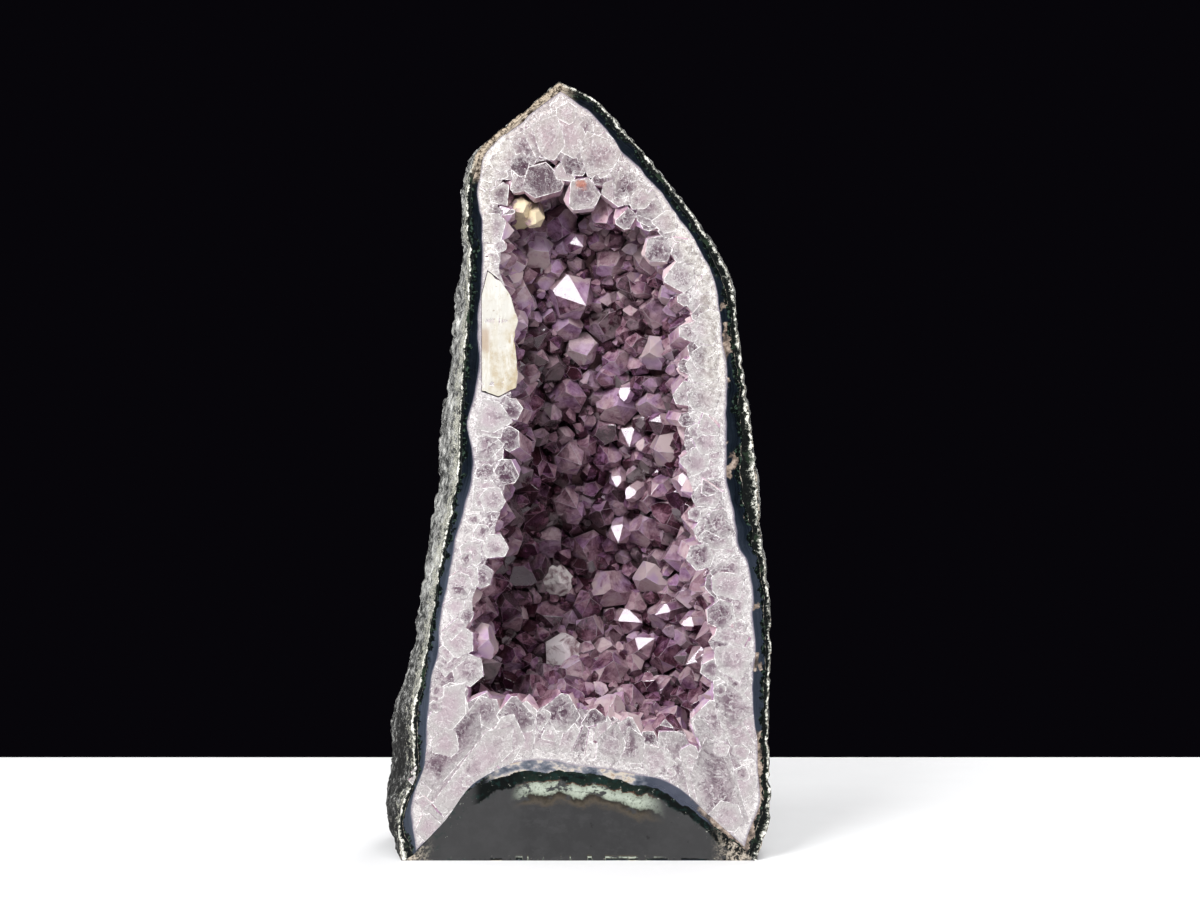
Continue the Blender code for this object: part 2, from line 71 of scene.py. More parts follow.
# %% Place the camera
EYE = np.array((11.0, -1300.0, 234.0))
PITCH_DOWN = math.radians(1.05)
LENS = 71.9


def new_object(name, data):
    """An object in the scene that shows a mesh, a lamp or a camera."""
    thing = bpy.data.objects.new(name, data)
    bpy.context.scene.collection.objects.link(thing)
    return thing


def add_camera():
    """A level camera at EYE that looks along +Y, tipped down a little."""
    data = bpy.data.cameras.new("camera")
    data.lens = LENS
    data.sensor_width = 36.0
    data.clip_start = 0.05
    camera = new_object("camera", data)
    camera.location = EYE * MM
    camera.rotation_euler = (math.pi / 2 - PITCH_DOWN, 0.0, 0.0)
    bpy.context.scene.camera = camera


add_camera()
print("camera at", [round(c * MM, 3) for c in EYE])

# %% [markdown]
# The geode stands on a pale platform that ends 0.35 m in front of the sawn face and 0.21 m behind the
# stone. Five soft lamps light it: the strongest stands high on the left in front, a second one above the
# camera, a weak one on the right, one behind it that picks out the broken rim and one on the left flank.

# %% Floor, lamps and background
KEY_PLACE = np.array((-620.0, -1150.0, 1050.0))

# Name, place, width in metres and power in watts
LAMPS = (
    ("key", KEY_PLACE, 0.6, 31.0),
    ("front", (260.0, -1250.0, 1250.0), 0.8, 11.0),
    ("fill", (950.0, -1000.0, 520.0), 0.6, 5.0),
    ("rim", (420.0, 650.0, 950.0), 0.7, 12.0),
    ("flank", (-1100.0, -350.0, 420.0), 0.6, 8.5),
)
FLOOR_EDGE = (-700.0, 700.0, -420.0, 293.0)
LAMP_AIM = (0.0, -50.0, 200.0)
BACKGROUND = (0.0022, 0.0018, 0.0030)


def add_lamps():
    """Square soft lamps that all look at the middle of the geode."""
    middle = Vector(LAMP_AIM) * MM
    for name, place, size, power in LAMPS:
        data = bpy.data.lights.new(name, "AREA")
        data.size = size
        data.energy = power
        lamp = new_object(name, data)
        lamp.location = Vector(place) * MM
        lamp.rotation_euler = (middle - lamp.location).to_track_quat("-Z", "Y").to_euler()


def add_world():
    """A plain dark background."""
    world = bpy.data.worlds.new("studio")
    world.use_nodes = True
    world.node_tree.nodes["Background"].inputs["Color"].default_value = (*BACKGROUND, 1.0)
    bpy.context.scene.world = world
    bpy.context.scene.view_settings.view_transform = "Standard"


add_lamps()
add_world()
print(len(LAMPS), "lamps")

# %% [markdown]
# Every shape below ends as arrays of points and faces. These helpers turn them into a mesh: a grid is
# rows of points with quads between them, and several grids that share an edge are merged along it.

# %% Grids and meshes
SHARP_ANGLE = math.radians(50)
MERGE_DISTANCE, SHORTEST_EDGE = 1e-5, 1e-6


def unit(vectors, least=0.0):
    """Rows of vectors divided by their lengths, or by the least length if they are shorter."""
    return vectors / np.maximum(np.linalg.norm(vectors, axis=1), least)[:, None]


def grid_faces(rows, columns, closed):
    """Quads of a grid: a point, its right neighbour and the two above. Closed joins the rows' ends."""
    wide = columns if closed else columns - 1
    row, column = np.meshgrid(np.arange(rows - 1), np.arange(wide), indexing="ij")
    right = (column + 1) % columns
    quads = np.stack([row * columns + column, row * columns + right,
                      (row + 1) * columns + right, (row + 1) * columns + column], axis=-1)
    return quads.reshape(-1, 4).tolist()


def grid_part(rows, number=0, grain=None, closed=True):
    """A grid of points as one part of a piece: its points, faces, material number and grain."""
    grain = np.zeros(rows.shape) if grain is None else grain
    faces = grid_faces(*rows.shape[:2], closed)
    return rows.reshape(-1, 3), faces, number, grain.reshape(-1, 3)


def keep_grain(mesh, grain):
    """Keeps three numbers for each point on the mesh, as its attribute "grain"."""
    mesh.attributes.new("grain", "FLOAT_VECTOR", "POINT").data.foreach_set("vector", grain.ravel())


def new_mesh(name, points, faces, materials, numbers=()):
    """A mesh from points in millimetres, faces, materials and each face's material number."""
    mesh = bpy.data.meshes.new(name)
    mesh.from_pydata((points * MM).tolist(), [], faces)
    for material in materials:
        mesh.materials.append(material)
    mesh.polygons.foreach_set("material_index", numbers or [0] * len(faces))
    return mesh


def mesh_piece(name, parts, materials):
    """One mesh from parts of (points in mm, faces, material number, grain), merged where they meet.

    Grain is how far along the wall and how far in from it each point lies, in millimetres, and what share
    of the local width that is.
    """
    points = np.vstack([part[0] for part in parts])
    grain = np.vstack([part[3] for part in parts])
    faces, numbers, start = [], [], 0
    for part_points, part_faces, number, _ in parts:
        faces += [tuple(start + i for i in face) for face in part_faces]
        numbers += [number] * len(part_faces)
        start += len(part_points)
    mesh = new_mesh(name, points, faces, materials, numbers)
    keep_grain(mesh, grain)
    body = bmesh.new()
    body.from_mesh(mesh)
    bmesh.ops.remove_doubles(body, verts=body.verts, dist=MERGE_DISTANCE)
    bmesh.ops.dissolve_degenerate(body, edges=body.edges, dist=SHORTEST_EDGE)
    bmesh.ops.recalc_face_normals(body, faces=body.faces)
    open_edges = sum(edge.is_boundary for edge in body.edges)
    body.to_mesh(mesh)
    body.free()
    mesh.polygons.foreach_set("use_smooth", [True] * len(mesh.polygons))
    mesh.set_sharp_from_angle(angle=SHARP_ANGLE)
    triangles = sum(len(p.vertices) - 2 for p in mesh.polygons)
    print(name, "has", triangles, "triangles and", open_edges, "open edges")
    return new_object(name, mesh)


# %% [markdown]
# Stone is never smooth. Noise on a lattice gives each cube of space a random value and blends between the
# cubes, so that the same point in space always gets the same value, and two surfaces that meet stay
# together.

# %% Noise


def lattice_noise(points, cell, seed):
    """Smooth noise from -1 to 1: random values at the corners of cells, blended in between."""
    scaled = points / cell
    corner = np.floor(scaled).astype(np.int64)
    part = scaled - corner
    part = part * part * (3 - 2 * part)
    total = np.zeros(len(points))
    for step in itertools.product((0, 1), repeat=3):
        x, y, z = (corner + step).T
        mixed = (x * 73856093) ^ (y * 19349663) ^ (z * 83492791) ^ (seed * 40503)
        mixed = (mixed ^ (mixed >> 13)) * 1274126177 & 0x7FFFFFFF
        mixed = (mixed ^ (mixed >> 15)) & 0xFFFF
        weight = np.prod(np.where(np.array(step) == 1, part, 1 - part), axis=1)
        total += weight * (mixed / 32767.5 - 1)
    return total


def hermite(knots, values, at):
    """A smooth curve through values at knots, of cubic pieces that share their slopes at the knots."""
    knots = np.asarray(knots, float)
    values = np.asarray(values, float)
    slopes = np.gradient(values, knots, axis=0)
    index = np.clip(np.searchsorted(knots, at, side="right") - 1, 0, len(knots) - 2)
    step = (knots[index + 1] - knots[index])[:, None]
    t = (at - knots[index])[:, None] / step
    return ((2 * t**3 - 3 * t**2 + 1) * values[index] + (t**3 - 2 * t**2 + t) * step * slopes[index]
            + (3 * t**2 - 2 * t**3) * values[index + 1] + (t**3 - t**2) * step * slopes[index + 1])


# %% [markdown]
# The sawn face is drawn by closed loops, one inside the other: the rim, the wall where basalt meets
# agate, the agate's inner edge and the quartz's inner edge. They are the same tables that the solids are
# built from, read at closer steps. Sizes are real millimetres on the sawn face, x to the right and z up
# from the foot.

# %% The loops of the sawn face
HEIGHT = 400.0
FACE_Y = -70.0
KEEL_X, KEEL_LOW_Z, KEEL_HIGH_Z = 6.0, 160.0, 320.0

# Rim x and z, wall x and z, width of the agate and width of the quartz
LEFT_SIDE = (
    (-92.0, 0.0, -85.0, 3.0, 3.0, 84.0),
    (-93.0, 21.0, -90.0, 22.0, 6.0, 57.0),
    (-85.5, 47.0, -82.0, 47.0, 3.5, 42.0),
    (-86.0, 73.0, -82.5, 73.0, 7.0, 30.0),
    (-81.0, 98.5, -78.5, 98.5, 5.5, 25.0),
    (-76.5, 124.5, -74.5, 124.5, 5.0, 19.5),
    (-67.5, 175.5, -65.0, 175.5, 5.0, 21.5),
    (-62.5, 201.0, -60.5, 201.0, 5.0, 19.5),
    (-61.5, 227.0, -59.5, 227.0, 3.5, 22.0),
    (-60.0, 252.5, -57.5, 252.5, 6.5, 18.5),
    (-58.0, 278.0, -56.0, 278.0, 4.5, 18.5),
    (-56.5, 304.0, -54.5, 304.0, 5.0, 11.0),
    (-57.5, 329.5, -55.5, 329.5, 5.0, 11.0),
    (-56.0, 354.0, -54.0, 352.5, 4.0, 14.0),
    (-52.0, 364.0, -50.5, 361.5, 1.2, 18.0),
    (-27.0, 386.0, -26.0, 383.5, 1.2, 27.0),
    (-10.0, HEIGHT, -9.5, 396.0, 1.5, 42.0),
)
RIGHT_SIDE = (
    (92.0, 0.0, 87.0, 4.0, 3.0, 68.0),
    (99.0, 24.0, 95.0, 26.0, 4.0, 52.0),
    (98.5, 45.0, 94.5, 45.0, 4.0, 40.0),
    (97.5, 73.0, 94.5, 73.0, 6.0, 29.0),
    (99.0, 124.0, 96.0, 124.0, 7.0, 23.0),
    (96.5, 147.5, 93.5, 147.5, 7.0, 22.0),
    (93.5, 170.5, 88.0, 170.5, 6.5, 21.5),
    (92.0, 196.0, 83.5, 196.0, 7.5, 22.0),
    (88.5, 222.0, 82.0, 222.0, 6.5, 23.0),
    (85.0, 247.5, 81.5, 247.5, 6.0, 22.5),
    (81.5, 273.0, 78.5, 273.0, 4.5, 16.5),
    (78.0, 299.0, 74.5, 297.5, 4.0, 18.0),
    (52.5, 340.0, 50.0, 338.5, 4.0, 17.0),
    (21.5, 377.0, 19.0, 375.5, 6.0, 26.0),
    (6.0, 392.5, 3.5, 390.5, 4.5, 33.0),
    (-10.0, HEIGHT, -9.5, 396.0, 1.5, 42.0),
)
FLOOR_ARCH = (
    (-69.0, 20.0, 2.0, 62.0),
    (-55.5, 37.0, 2.5, 45.0),
    (-40.0, 45.5, 3.0, 37.0),
    (-9.0, 48.0, 2.5, 31.0),
    (21.5, 43.5, 3.5, 30.0),
    (46.5, 35.0, 6.0, 25.0),
    (72.5, 16.0, 6.0, 50.0),
)


def loop_length(loop):
    """How far along a closed loop each of its points lies."""
    return np.concatenate([[0], np.cumsum(np.linalg.norm(np.diff(loop, axis=0), axis=1))])


def face_loops(rows, floor_steps, waver=0.0):
    """The loops as arrays of x, z, point for point alike, and the level of each point.

    They run up the left, over the apex, down the right and back along the floor. The levels are close
    together near the apex: level = height (1 - (1 - share)^1.35). Waver moves the agate's two edges.
    """
    rise = HEIGHT * (1 - (1 - np.arange(rows) / rows) ** 1.35)
    left, right = np.array(LEFT_SIDE), np.array(RIGHT_SIDE)
    up = hermite(left[:, 1], left, rise)
    down = hermite(right[:, 1], right, rise)[::-1]
    arch = np.vstack([left[0, 2:], FLOOR_ARCH, right[0, 2:]])
    along = loop_length(arch[:, :2])
    floor = hermite(along, arch, np.linspace(0, along[-1], floor_steps + 2)[1:-1][::-1])
    floor = np.column_stack([floor[:, 0], np.zeros(len(floor)), floor])
    table = np.vstack([up, left[-1], down, floor])
    rim, wall = table[:, 0:2], table[:, 2:4]
    level = np.concatenate([rise, [HEIGHT], rise[::-1], np.zeros(len(floor))])
    keel = np.column_stack([np.full(len(wall), KEEL_X), np.clip(level, KEEL_LOW_Z, KEEL_HIGH_Z)])
    inward = unit(keel - wall)
    flat = np.column_stack([wall[:, 0], np.zeros(len(wall)), wall[:, 1]])
    ragged = lattice_noise(flat, 9.0, 21) + 0.6 * lattice_noise(flat, 3.5, 22)
    waves = 1.5 * lattice_noise(flat, 15.0, 23) + 0.5 * lattice_noise(flat, 5.0, 24)
    waves = waver * np.clip(waves, -0.4 * table[:, 4], 0.4 * table[:, 4])
    agate = wall + inward * (table[:, 4] + waves)[:, None]
    quartz = agate + inward * (table[:, 5] - waves)[:, None]
    width = np.minimum(table[:, 4], np.linalg.norm(wall - rim, axis=1))
    wall += inward * (waver * np.clip(ragged, -0.9, 0.9) * width * 0.35)[:, None]
    return {"rim": rim, "wall": wall, "agate": agate, "quartz": quartz, "keel": keel, "level": level}


RIM_ROWS, FLOOR_STEPS = 300, 130
fine = face_loops(RIM_ROWS, FLOOR_STEPS, waver=1.0)
coarse = face_loops(22, 12)
print("rim of", len(fine["rim"]), "points,", round(loop_length(fine["rim"])[-1]), "mm round")

# %% [markdown]
# Behind the face each loop goes on as a bowl. Every point of the loop swings round to the keel, an
# upright line in the depth of the hollow: at turn t it lies the share cos(t)^0.8 of the way out from the
# keel and sin(t)^0.8 of the depth behind the face. The agate, the quartz and the wall of basalt are all
# bowls of this kind.

# %% Bowls behind the face
HOLLOW_DEPTH_LOW, HOLLOW_DEPTH_HIGH = 116.0, 60.0
HOLLOW_FULLNESS = 0.8
BACK_AGATE, BACK_QUARTZ = 5.0, 11.0
ROOT_SHARE = 0.42
SEAM = 0.3
HIDDEN_STEPS = 8


def hollow_depth(keel_z, inset):
    """How deep a bowl is behind the face at a height on the keel: a straight slope between two depths."""
    share = (keel_z - KEEL_LOW_Z) / (KEEL_HIGH_Z - KEEL_LOW_Z)
    return HOLLOW_DEPTH_LOW + (HOLLOW_DEPTH_HIGH - HOLLOW_DEPTH_LOW) * share - inset


def bowl_point(loop, keel, depth, turn):
    """Points of a bowl: each loop point swings from the face, at turn 0, to the keel, at a quarter turn."""
    shrink = np.maximum(np.cos(turn), 0) ** HOLLOW_FULLNESS
    sink = np.sin(turn) ** HOLLOW_FULLNESS
    flat = keel + (loop - keel) * np.reshape(shrink, (-1, 1))
    return np.column_stack([flat[:, 0], FACE_Y + depth * sink, flat[:, 1]])


def bowl_rows(loop, keel, inset, steps):
    """A grid of a whole bowl, with turns that grow as (step / steps)^1.3. Its last row is the keel."""
    depth = hollow_depth(keel[:, 1], inset)
    turns = (np.arange(steps + 1) / steps) ** 1.3 * math.pi / 2
    rows = np.array([bowl_point(loop, keel, depth, turn) for turn in turns])
    rows[-1, :, 0] = keel[:, 0]
    rows[-1, :, 2] = keel[:, 1]
    return rows


def on_face(loop, y=FACE_Y):
    """A loop of x, z as points on the sawn face, or on a plane at another y."""
    return np.column_stack([loop[:, 0], np.full(len(loop), y), loop[:, 1]])


# %% [markdown]
# Materials are written with two helpers. A Recipe is a material in the making, with short words for the
# nodes that most of them use, and a Value is one number that a node gives, so that sums can be written
# plainly. Every pattern is read from Object coordinates or from numbers kept on the mesh, never from the
# camera, so that it stays on the stone when the view moves.

# %% Words for materials


class Value:
    """A number that a node gives for each point. Sums make Math nodes, and | takes the larger of two."""

    def __init__(self, recipe, socket):
        self.recipe, self.socket = recipe, socket

    def __add__(self, other):
        return self.recipe.math("ADD", self, other)

    def __sub__(self, other):
        return self.recipe.math("SUBTRACT", self, other)

    def __rsub__(self, other):
        return self.recipe.math("SUBTRACT", other, self)

    def __mul__(self, other):
        return self.recipe.math("MULTIPLY", self, other)

    def __truediv__(self, other):
        return self.recipe.math("DIVIDE", self, other)

    def __abs__(self):
        return self.recipe.math("ABSOLUTE", self)

    def __or__(self, other):
        return self.recipe.math("MAXIMUM", self, other)


class Recipe:
    def __init__(self, name):
        self.material = bpy.data.materials.new(name)
        self.material.use_nodes = True
        self.tree = self.material.node_tree
        self.shader = self.tree.nodes["Principled BSDF"]
        self.output = self.tree.nodes["Material Output"]
        self.place = self.add("TexCoord").outputs["Object"]

    def plug(self, value, place):
        """Links a value or an output to an input, or sets the input; a colour gets its alpha."""
        value = getattr(value, "socket", value)
        if isinstance(value, bpy.types.NodeSocket):
            self.tree.links.new(value, place)
        elif isinstance(value, tuple) and len(place.default_value) == 4:
            place.default_value = (*value, 1.0)
        else:
            place.default_value = value

    def add(self, kind, inputs=(), **settings):
        """A node of a kind, with settings and with inputs."""
        node = self.tree.nodes.new("ShaderNode" + kind)
        for name, value in settings.items():
            setattr(node, name, value)
        for name, value in dict(inputs).items():
            self.plug(value, node.inputs[name])
        return node

    def finish(self, inputs):
        """The finished material, with the inputs of its shader."""
        for name, value in inputs.items():
            self.plug(value, self.shader.inputs[name])
        return self.material

    def stretch(self, vector, scale, place=(0.0, 0.0, 0.0)):
        """Coordinates multiplied by a scale for each axis."""
        return self.add("Mapping", {"Vector": vector, "Scale": scale, "Location": place}).outputs["Vector"]

    def attribute(self, name):
        """A number that the mesh keeps for each point."""
        return Value(self, self.add("Attribute", attribute_name=name).outputs["Fac"])

    def vector(self, operation, a, b, result=0):
        """A sum on two vectors."""
        return self.add("VectorMath", {0: a, 1: b}, operation=operation).outputs[result]

    def scaled(self, vector, scale):
        """A vector made longer or shorter."""
        return self.add("VectorMath", {0: vector, "Scale": scale}, operation="SCALE").outputs[0]

    def noise(self, scale, detail=4.0, rough=0.55, warp=0.0, at=None):
        """Noise from 0 to 1, about even round 0.5, read at the point's own place or at another vector."""
        place = self.place if at is None else at
        inputs = {"Vector": place, "Scale": scale, "Detail": detail, "Roughness": rough, "Distortion": warp}
        return Value(self, self.add("TexNoise", inputs).outputs["Fac"])

    def math(self, operation, a, b=0.0):
        """A sum on one or two values."""
        return Value(self, self.add("Math", {0: a, 1: b}, operation=operation).outputs[0])

    def step(self, value, low, high, start=0.0, end=1.0):
        """A soft step: start below low, end above high."""
        inputs = {"Value": value, "From Min": low, "From Max": high, "To Min": start, "To Max": end}
        return Value(self, self.add("MapRange", inputs, interpolation_type="SMOOTHSTEP").outputs["Result"])

    def mix(self, share, first, second, blend="MIX"):
        """Two colours mixed by a share."""
        inputs = {0: share, 6: first, 7: second}
        return self.add("Mix", data_type="RGBA", blend_type=blend, inputs=inputs).outputs[2]

    def ramp(self, value, stops):
        """A colour for each value, read off a row of (position, colour) stops."""
        node = self.add("ValToRGB", {"Fac": value})
        elements = node.color_ramp.elements
        elements[0].position, elements[0].color = stops[0][0], (*stops[0][1], 1.0)
        elements[1].position, elements[1].color = stops[-1][0], (*stops[-1][1], 1.0)
        for position, colour in stops[1:-1]:
            elements.new(position).color = (*colour, 1.0)
        return node.outputs["Color"]

    def bump(self, height, strength, distance):
        """A surface normal that follows a height, for relief too fine for the mesh."""
        return self.add("Bump",
                        {"Height": height, "Strength": strength, "Distance": distance}).outputs["Normal"]

    def parts(self, vector):
        """The three parts of a vector."""
        return [Value(self, part) for part in self.add("SeparateXYZ", {"Vector": vector}).outputs]

    def grain(self):
        """How far along and in from the wall each point lies, in millimetres, and the share of width."""
        return self.add("Attribute", attribute_name="grain").outputs["Vector"]


# %% [markdown]
# ## Basalt rind
# The outer stone is grey, streaked upright, pitted, and has a thin pale crust near the sawn edge. Its
# back is a superellipse drawn along the height, and noise of several sizes makes lumps and pits that
# really stand out of the mesh. The two coarsest noises are those of the solid.

# %% Shape of the rind
BACK_DEPTH = 150.0
BACK_SQUARENESS = 2.6
BULGE_PLACE = 0.3
FOOT_TUCK, FOOT_TUCK_HEIGHT = 0.09, 16.0
FLANK_BULGE = (
    (0.0, 2.0, 0.0),
    (30.0, 11.0, 1.0),
    (63.0, 13.5, 1.0),
    (83.0, 9.5, 1.0),
    (134.0, 9.0, 1.0),
    (186.0, 9.0, 1.0),
    (211.0, 10.5, 1.0),
    (263.0, 7.0, 1.0),
    (314.0, 4.0, 1.0),
    (345.0, 2.5, 1.0),
    (HEIGHT, 0.0, 0.0),
)
RIGHT_SPREAD = 0.03
RIM_CHIPS, RING_CRUMBS = 1.3, 1.8
BOX_MARGIN = 0.05
BACK_STEPS = 200
RING_STEPS = 12


def back_depth(z):
    """The rind's depth behind the face: depth sqrt(1 - (z / height)^3), drawn in a little at the foot."""
    tuck = 1 - FOOT_TUCK * np.exp(-z / FOOT_TUCK_HEIGHT)
    return BACK_DEPTH * np.sqrt(np.clip(1 - (z / HEIGHT) ** 3, 0, 1)) * tuck


def rock_relief(points):
    """How far rough basalt stands out: two coarse noises, and apart from them ridges, grain and pits."""
    coarse_lumps = 4.6 * lattice_noise(points, 36.0, 3) + 2.0 * lattice_noise(points, 14.0, 8)
    ridges = 1.1 * (1 - 2 * np.abs(lattice_noise(points * (1, 1, 0.35), 5.0, 31)))
    ridges += 0.7 * (1 - 2 * np.abs(lattice_noise(points * (1, 1, 0.6), 2.4, 34)))
    grain = 0.5 * lattice_noise(points, 1.9, 32)
    pits = -2.2 * np.clip(lattice_noise(points, 5.5, 33) - 0.30, 0, 1) / 0.7
    return coarse_lumps, ridges + grain + pits


def back_grid(rim):
    """Rows of points round the back, one for each level, from the left rim to the right rim.

    Across = |cos|^(2/2.6) and behind = sin^(2/2.6) draw a superellipse; b behind, the flanks swell by
    b/0.3 exp(1 - b/0.3). The right flank runs back nearly square to the face, hidden behind its rim.
    """
    left = rim[: RIM_ROWS + 1]
    right = rim[RIM_ROWS : 2 * RIM_ROWS + 1][::-1]
    turn = (1 - np.cos(np.linspace(0, math.pi, BACK_STEPS + 1))) * math.pi / 2
    turn = 0.55 * np.linspace(0, math.pi, BACK_STEPS + 1) + 0.45 * turn
    across = (np.sign(np.cos(turn)) * np.abs(np.cos(turn)) ** (2 / BACK_SQUARENESS))[None, :]
    behind = (np.maximum(np.sin(turn), 0) ** (2 / BACK_SQUARENESS))[None, :]
    swell = behind / BULGE_PLACE * np.exp(1 - behind / BULGE_PLACE)
    stations = np.array(FLANK_BULGE)
    bulges = hermite(stations[:, 0], stations[:, 1:], np.clip(left[:, 1], 0, HEIGHT))
    middle = ((left[:, 0] + right[:, 0]) / 2)[:, None]
    half = ((right[:, 0] - left[:, 0]) / 2)[:, None]
    reach = half + swell * np.where(across > 0, bulges[:, :1], bulges[:, 1:])
    z = np.broadcast_to(left[:, 1:2], reach.shape)
    rows = np.stack([middle - reach * across, FACE_Y + back_depth(z) * behind, z], axis=-1)
    lumps, roughness = rock_relief(rows.reshape(-1, 3))
    lumps = lumps.reshape(z.shape) * np.minimum(behind * 3, 1) * np.minimum((HEIGHT - z) / 12.0, 1)
    roughness = roughness.reshape(z.shape) * np.minimum(behind * 9, 1) * np.minimum((HEIGHT - z) / 3.0, 1)
    rows[:, :, 0] -= across * lumps
    limit = right[:, :1] + RIGHT_SPREAD * (rows[:, :, 1] - FACE_Y)
    rows[:, :, 0] = np.minimum(rows[:, :, 0], limit) - across * roughness
    rows[:, :, 1] += behind * (lumps + roughness)
    return rows


def ragged_rim(rim):
    """The rim chipped inwards by up to a millimetre or so, so that the sawn edge isn't a smooth line."""
    flat = on_face(rim)
    chips = np.clip(lattice_noise(flat, 5.0, 41) + 0.7 * lattice_noise(flat, 2.2, 42), 0, 1) * RIM_CHIPS
    inward = unit(fine["wall"] - rim, 0.1)
    chips[2 * RIM_ROWS + 1 :] = 0
    chips[RIM_ROWS] = 0
    chipped = rim + inward * chips[:, None]
    chipped[:, 1] = np.clip(chipped[:, 1], 0, HEIGHT)
    chipped[[0, 2 * RIM_ROWS], 1] = 0
    return chipped


def rind_parts():
    """The parts of the rind: its back, the sawn ring of the face, the wall of the hollow and the foot."""
    rim = ragged_rim(fine["rim"])
    back = back_grid(rim)
    low, high = np.array(cad_box[0]) / MM, np.array(cad_box[1]) / MM
    back = np.clip(back, low + BOX_MARGIN, high - BOX_MARGIN * np.array((1, 1, 0)))
    back[:, [0, -1], 1] = FACE_Y
    back[0, :, 2] = 0
    edge = np.vstack([back[:, 0], back[:-1, -1][::-1], on_face(fine["rim"][2 * RIM_ROWS + 1 :])])
    count = len(edge)
    share = (np.linspace(0, 1, RING_STEPS + 1) ** 0.8)[:, None, None]
    ring = edge + (on_face(fine["wall"]) - edge) * share
    across = np.linalg.norm(ring - ring[-1], axis=2)
    is_floor = np.arange(count) > 2 * RIM_ROWS
    crumbs = np.clip(lattice_noise(ring.reshape(-1, 3), 3.0, 51).reshape(ring.shape[:2]) + 0.2, 0, 1)
    near_rim = np.clip(1 - share[:, :, 0] * 1.4, 0, 1) * np.where(is_floor, 0, 1)[None, :]
    ring[1:-1, :, 1] += (crumbs * near_rim * RING_CRUMBS)[1:-1]
    along = np.broadcast_to(loop_length(edge), across.shape)
    across += np.where(is_floor, 0.0, 100.0)[None, :]
    inner = bowl_rows(fine["wall"], fine["keel"], 0.0, HIDDEN_STEPS)
    foot = np.vstack([back[0], on_face(fine["rim"][2 * RIM_ROWS + 1 :])])
    shares = np.broadcast_to(share[:, :, 0], across.shape)
    return [
        grid_part(back, closed=False),
        grid_part(ring, 1, np.stack([along, across, shares], axis=-1)),
        grid_part(inner),
        (foot, [tuple(range(len(foot)))], 0, np.zeros((len(foot), 3))),
    ]


# %% [markdown]
# Two finishes cover the rind. The broken back is matt, with streaks and pits darker than the ridges and a
# clay crust that thickens towards the sawn edge. The sawn face is polished: nearly black beside the
# agate, and under the arch it passes through green-black clay, a broken pale layer and a speckled one
# into smooth dark grey stone.

# %% Finish of the broken basalt


def broken_basalt():
    """Matt grey stone, streaked upright, with dark pits and a pale crumbly crust along the sawn edge."""
    r = Recipe("broken_basalt")
    _, y, z = r.parts(r.place)
    streak = r.noise(300.0, 6.0, 0.80, 0.4, at=r.stretch(r.place, (1.0, 1.0, 0.70)))
    blotch = r.noise(60.0, 5.0, 0.6)
    speck = r.noise(1300.0, 3.0, 0.7)
    tone = streak * 0.54 + blotch * 0.26
    tone += speck * 0.20
    tone += r.step(z, 0.03, 0.15, -0.055, 0.0)
    stone = r.ramp(tone, ((0.43, (0.003, 0.003, 0.003)), (0.465, (0.040, 0.040, 0.039)),
                          (0.505, (0.200, 0.200, 0.192)), (0.56, (0.480, 0.480, 0.460)),
                          (0.61, (0.80, 0.80, 0.76))))
    crumbs = r.noise(300.0, 6.0, 0.75, 0.5)
    near = r.step(y, -0.0700, -0.0540, 0.11, -0.14) + r.step(z, 0.06, 0.11, -0.07, 0.0)
    crust = r.step(crumbs + near, 0.55, 0.59)
    cream = r.mix(r.step(speck, 0.42, 0.56), (0.66, 0.64, 0.56), (0.17, 0.180, 0.14))
    colour = r.mix(crust * 0.85, stone, cream)
    rust = r.step(r.noise(85.0, 4.0), 0.64, 0.72)
    colour = r.mix(rust * 0.35, colour, (0.10, 0.070, 0.045))
    return r.finish({
        "Base Color": colour,
        "Roughness": r.step(tone, 0.4, 0.65, 0.95, 0.75),
        "Specular IOR Level": 0.3,
        "Normal": r.bump(streak * 0.6 + speck * 0.4, 1.0, 0.0032),
    })


# %% Finish of the sawn basalt


def crumble(r):
    """The crumbly noise that clay and broken edges share."""
    return r.noise(260.0, 5.0, 0.7)


def arch_chalcedony(r, x):
    """Chalcedony over the arch: pale blue, cream and tan in the middle, slate blue on the right."""
    blocks = r.noise(95.0, 4.0, 0.6, at=r.stretch(r.place, (1.0, 1.0, 1.6)))
    chalk = r.ramp(blocks, ((0.38, (0.030, 0.038, 0.055)), (0.47, (0.105, 0.115, 0.140)),
                            (0.53, (0.23, 0.22, 0.235)), (0.58, (0.44, 0.395, 0.34)),
                            (0.64, (0.28, 0.21, 0.155))))
    slate = r.mix(blocks, (0.022, 0.027, 0.042), (0.072, 0.078, 0.105))
    return r.mix(r.step(x, 0.028, 0.042), chalk, slate)


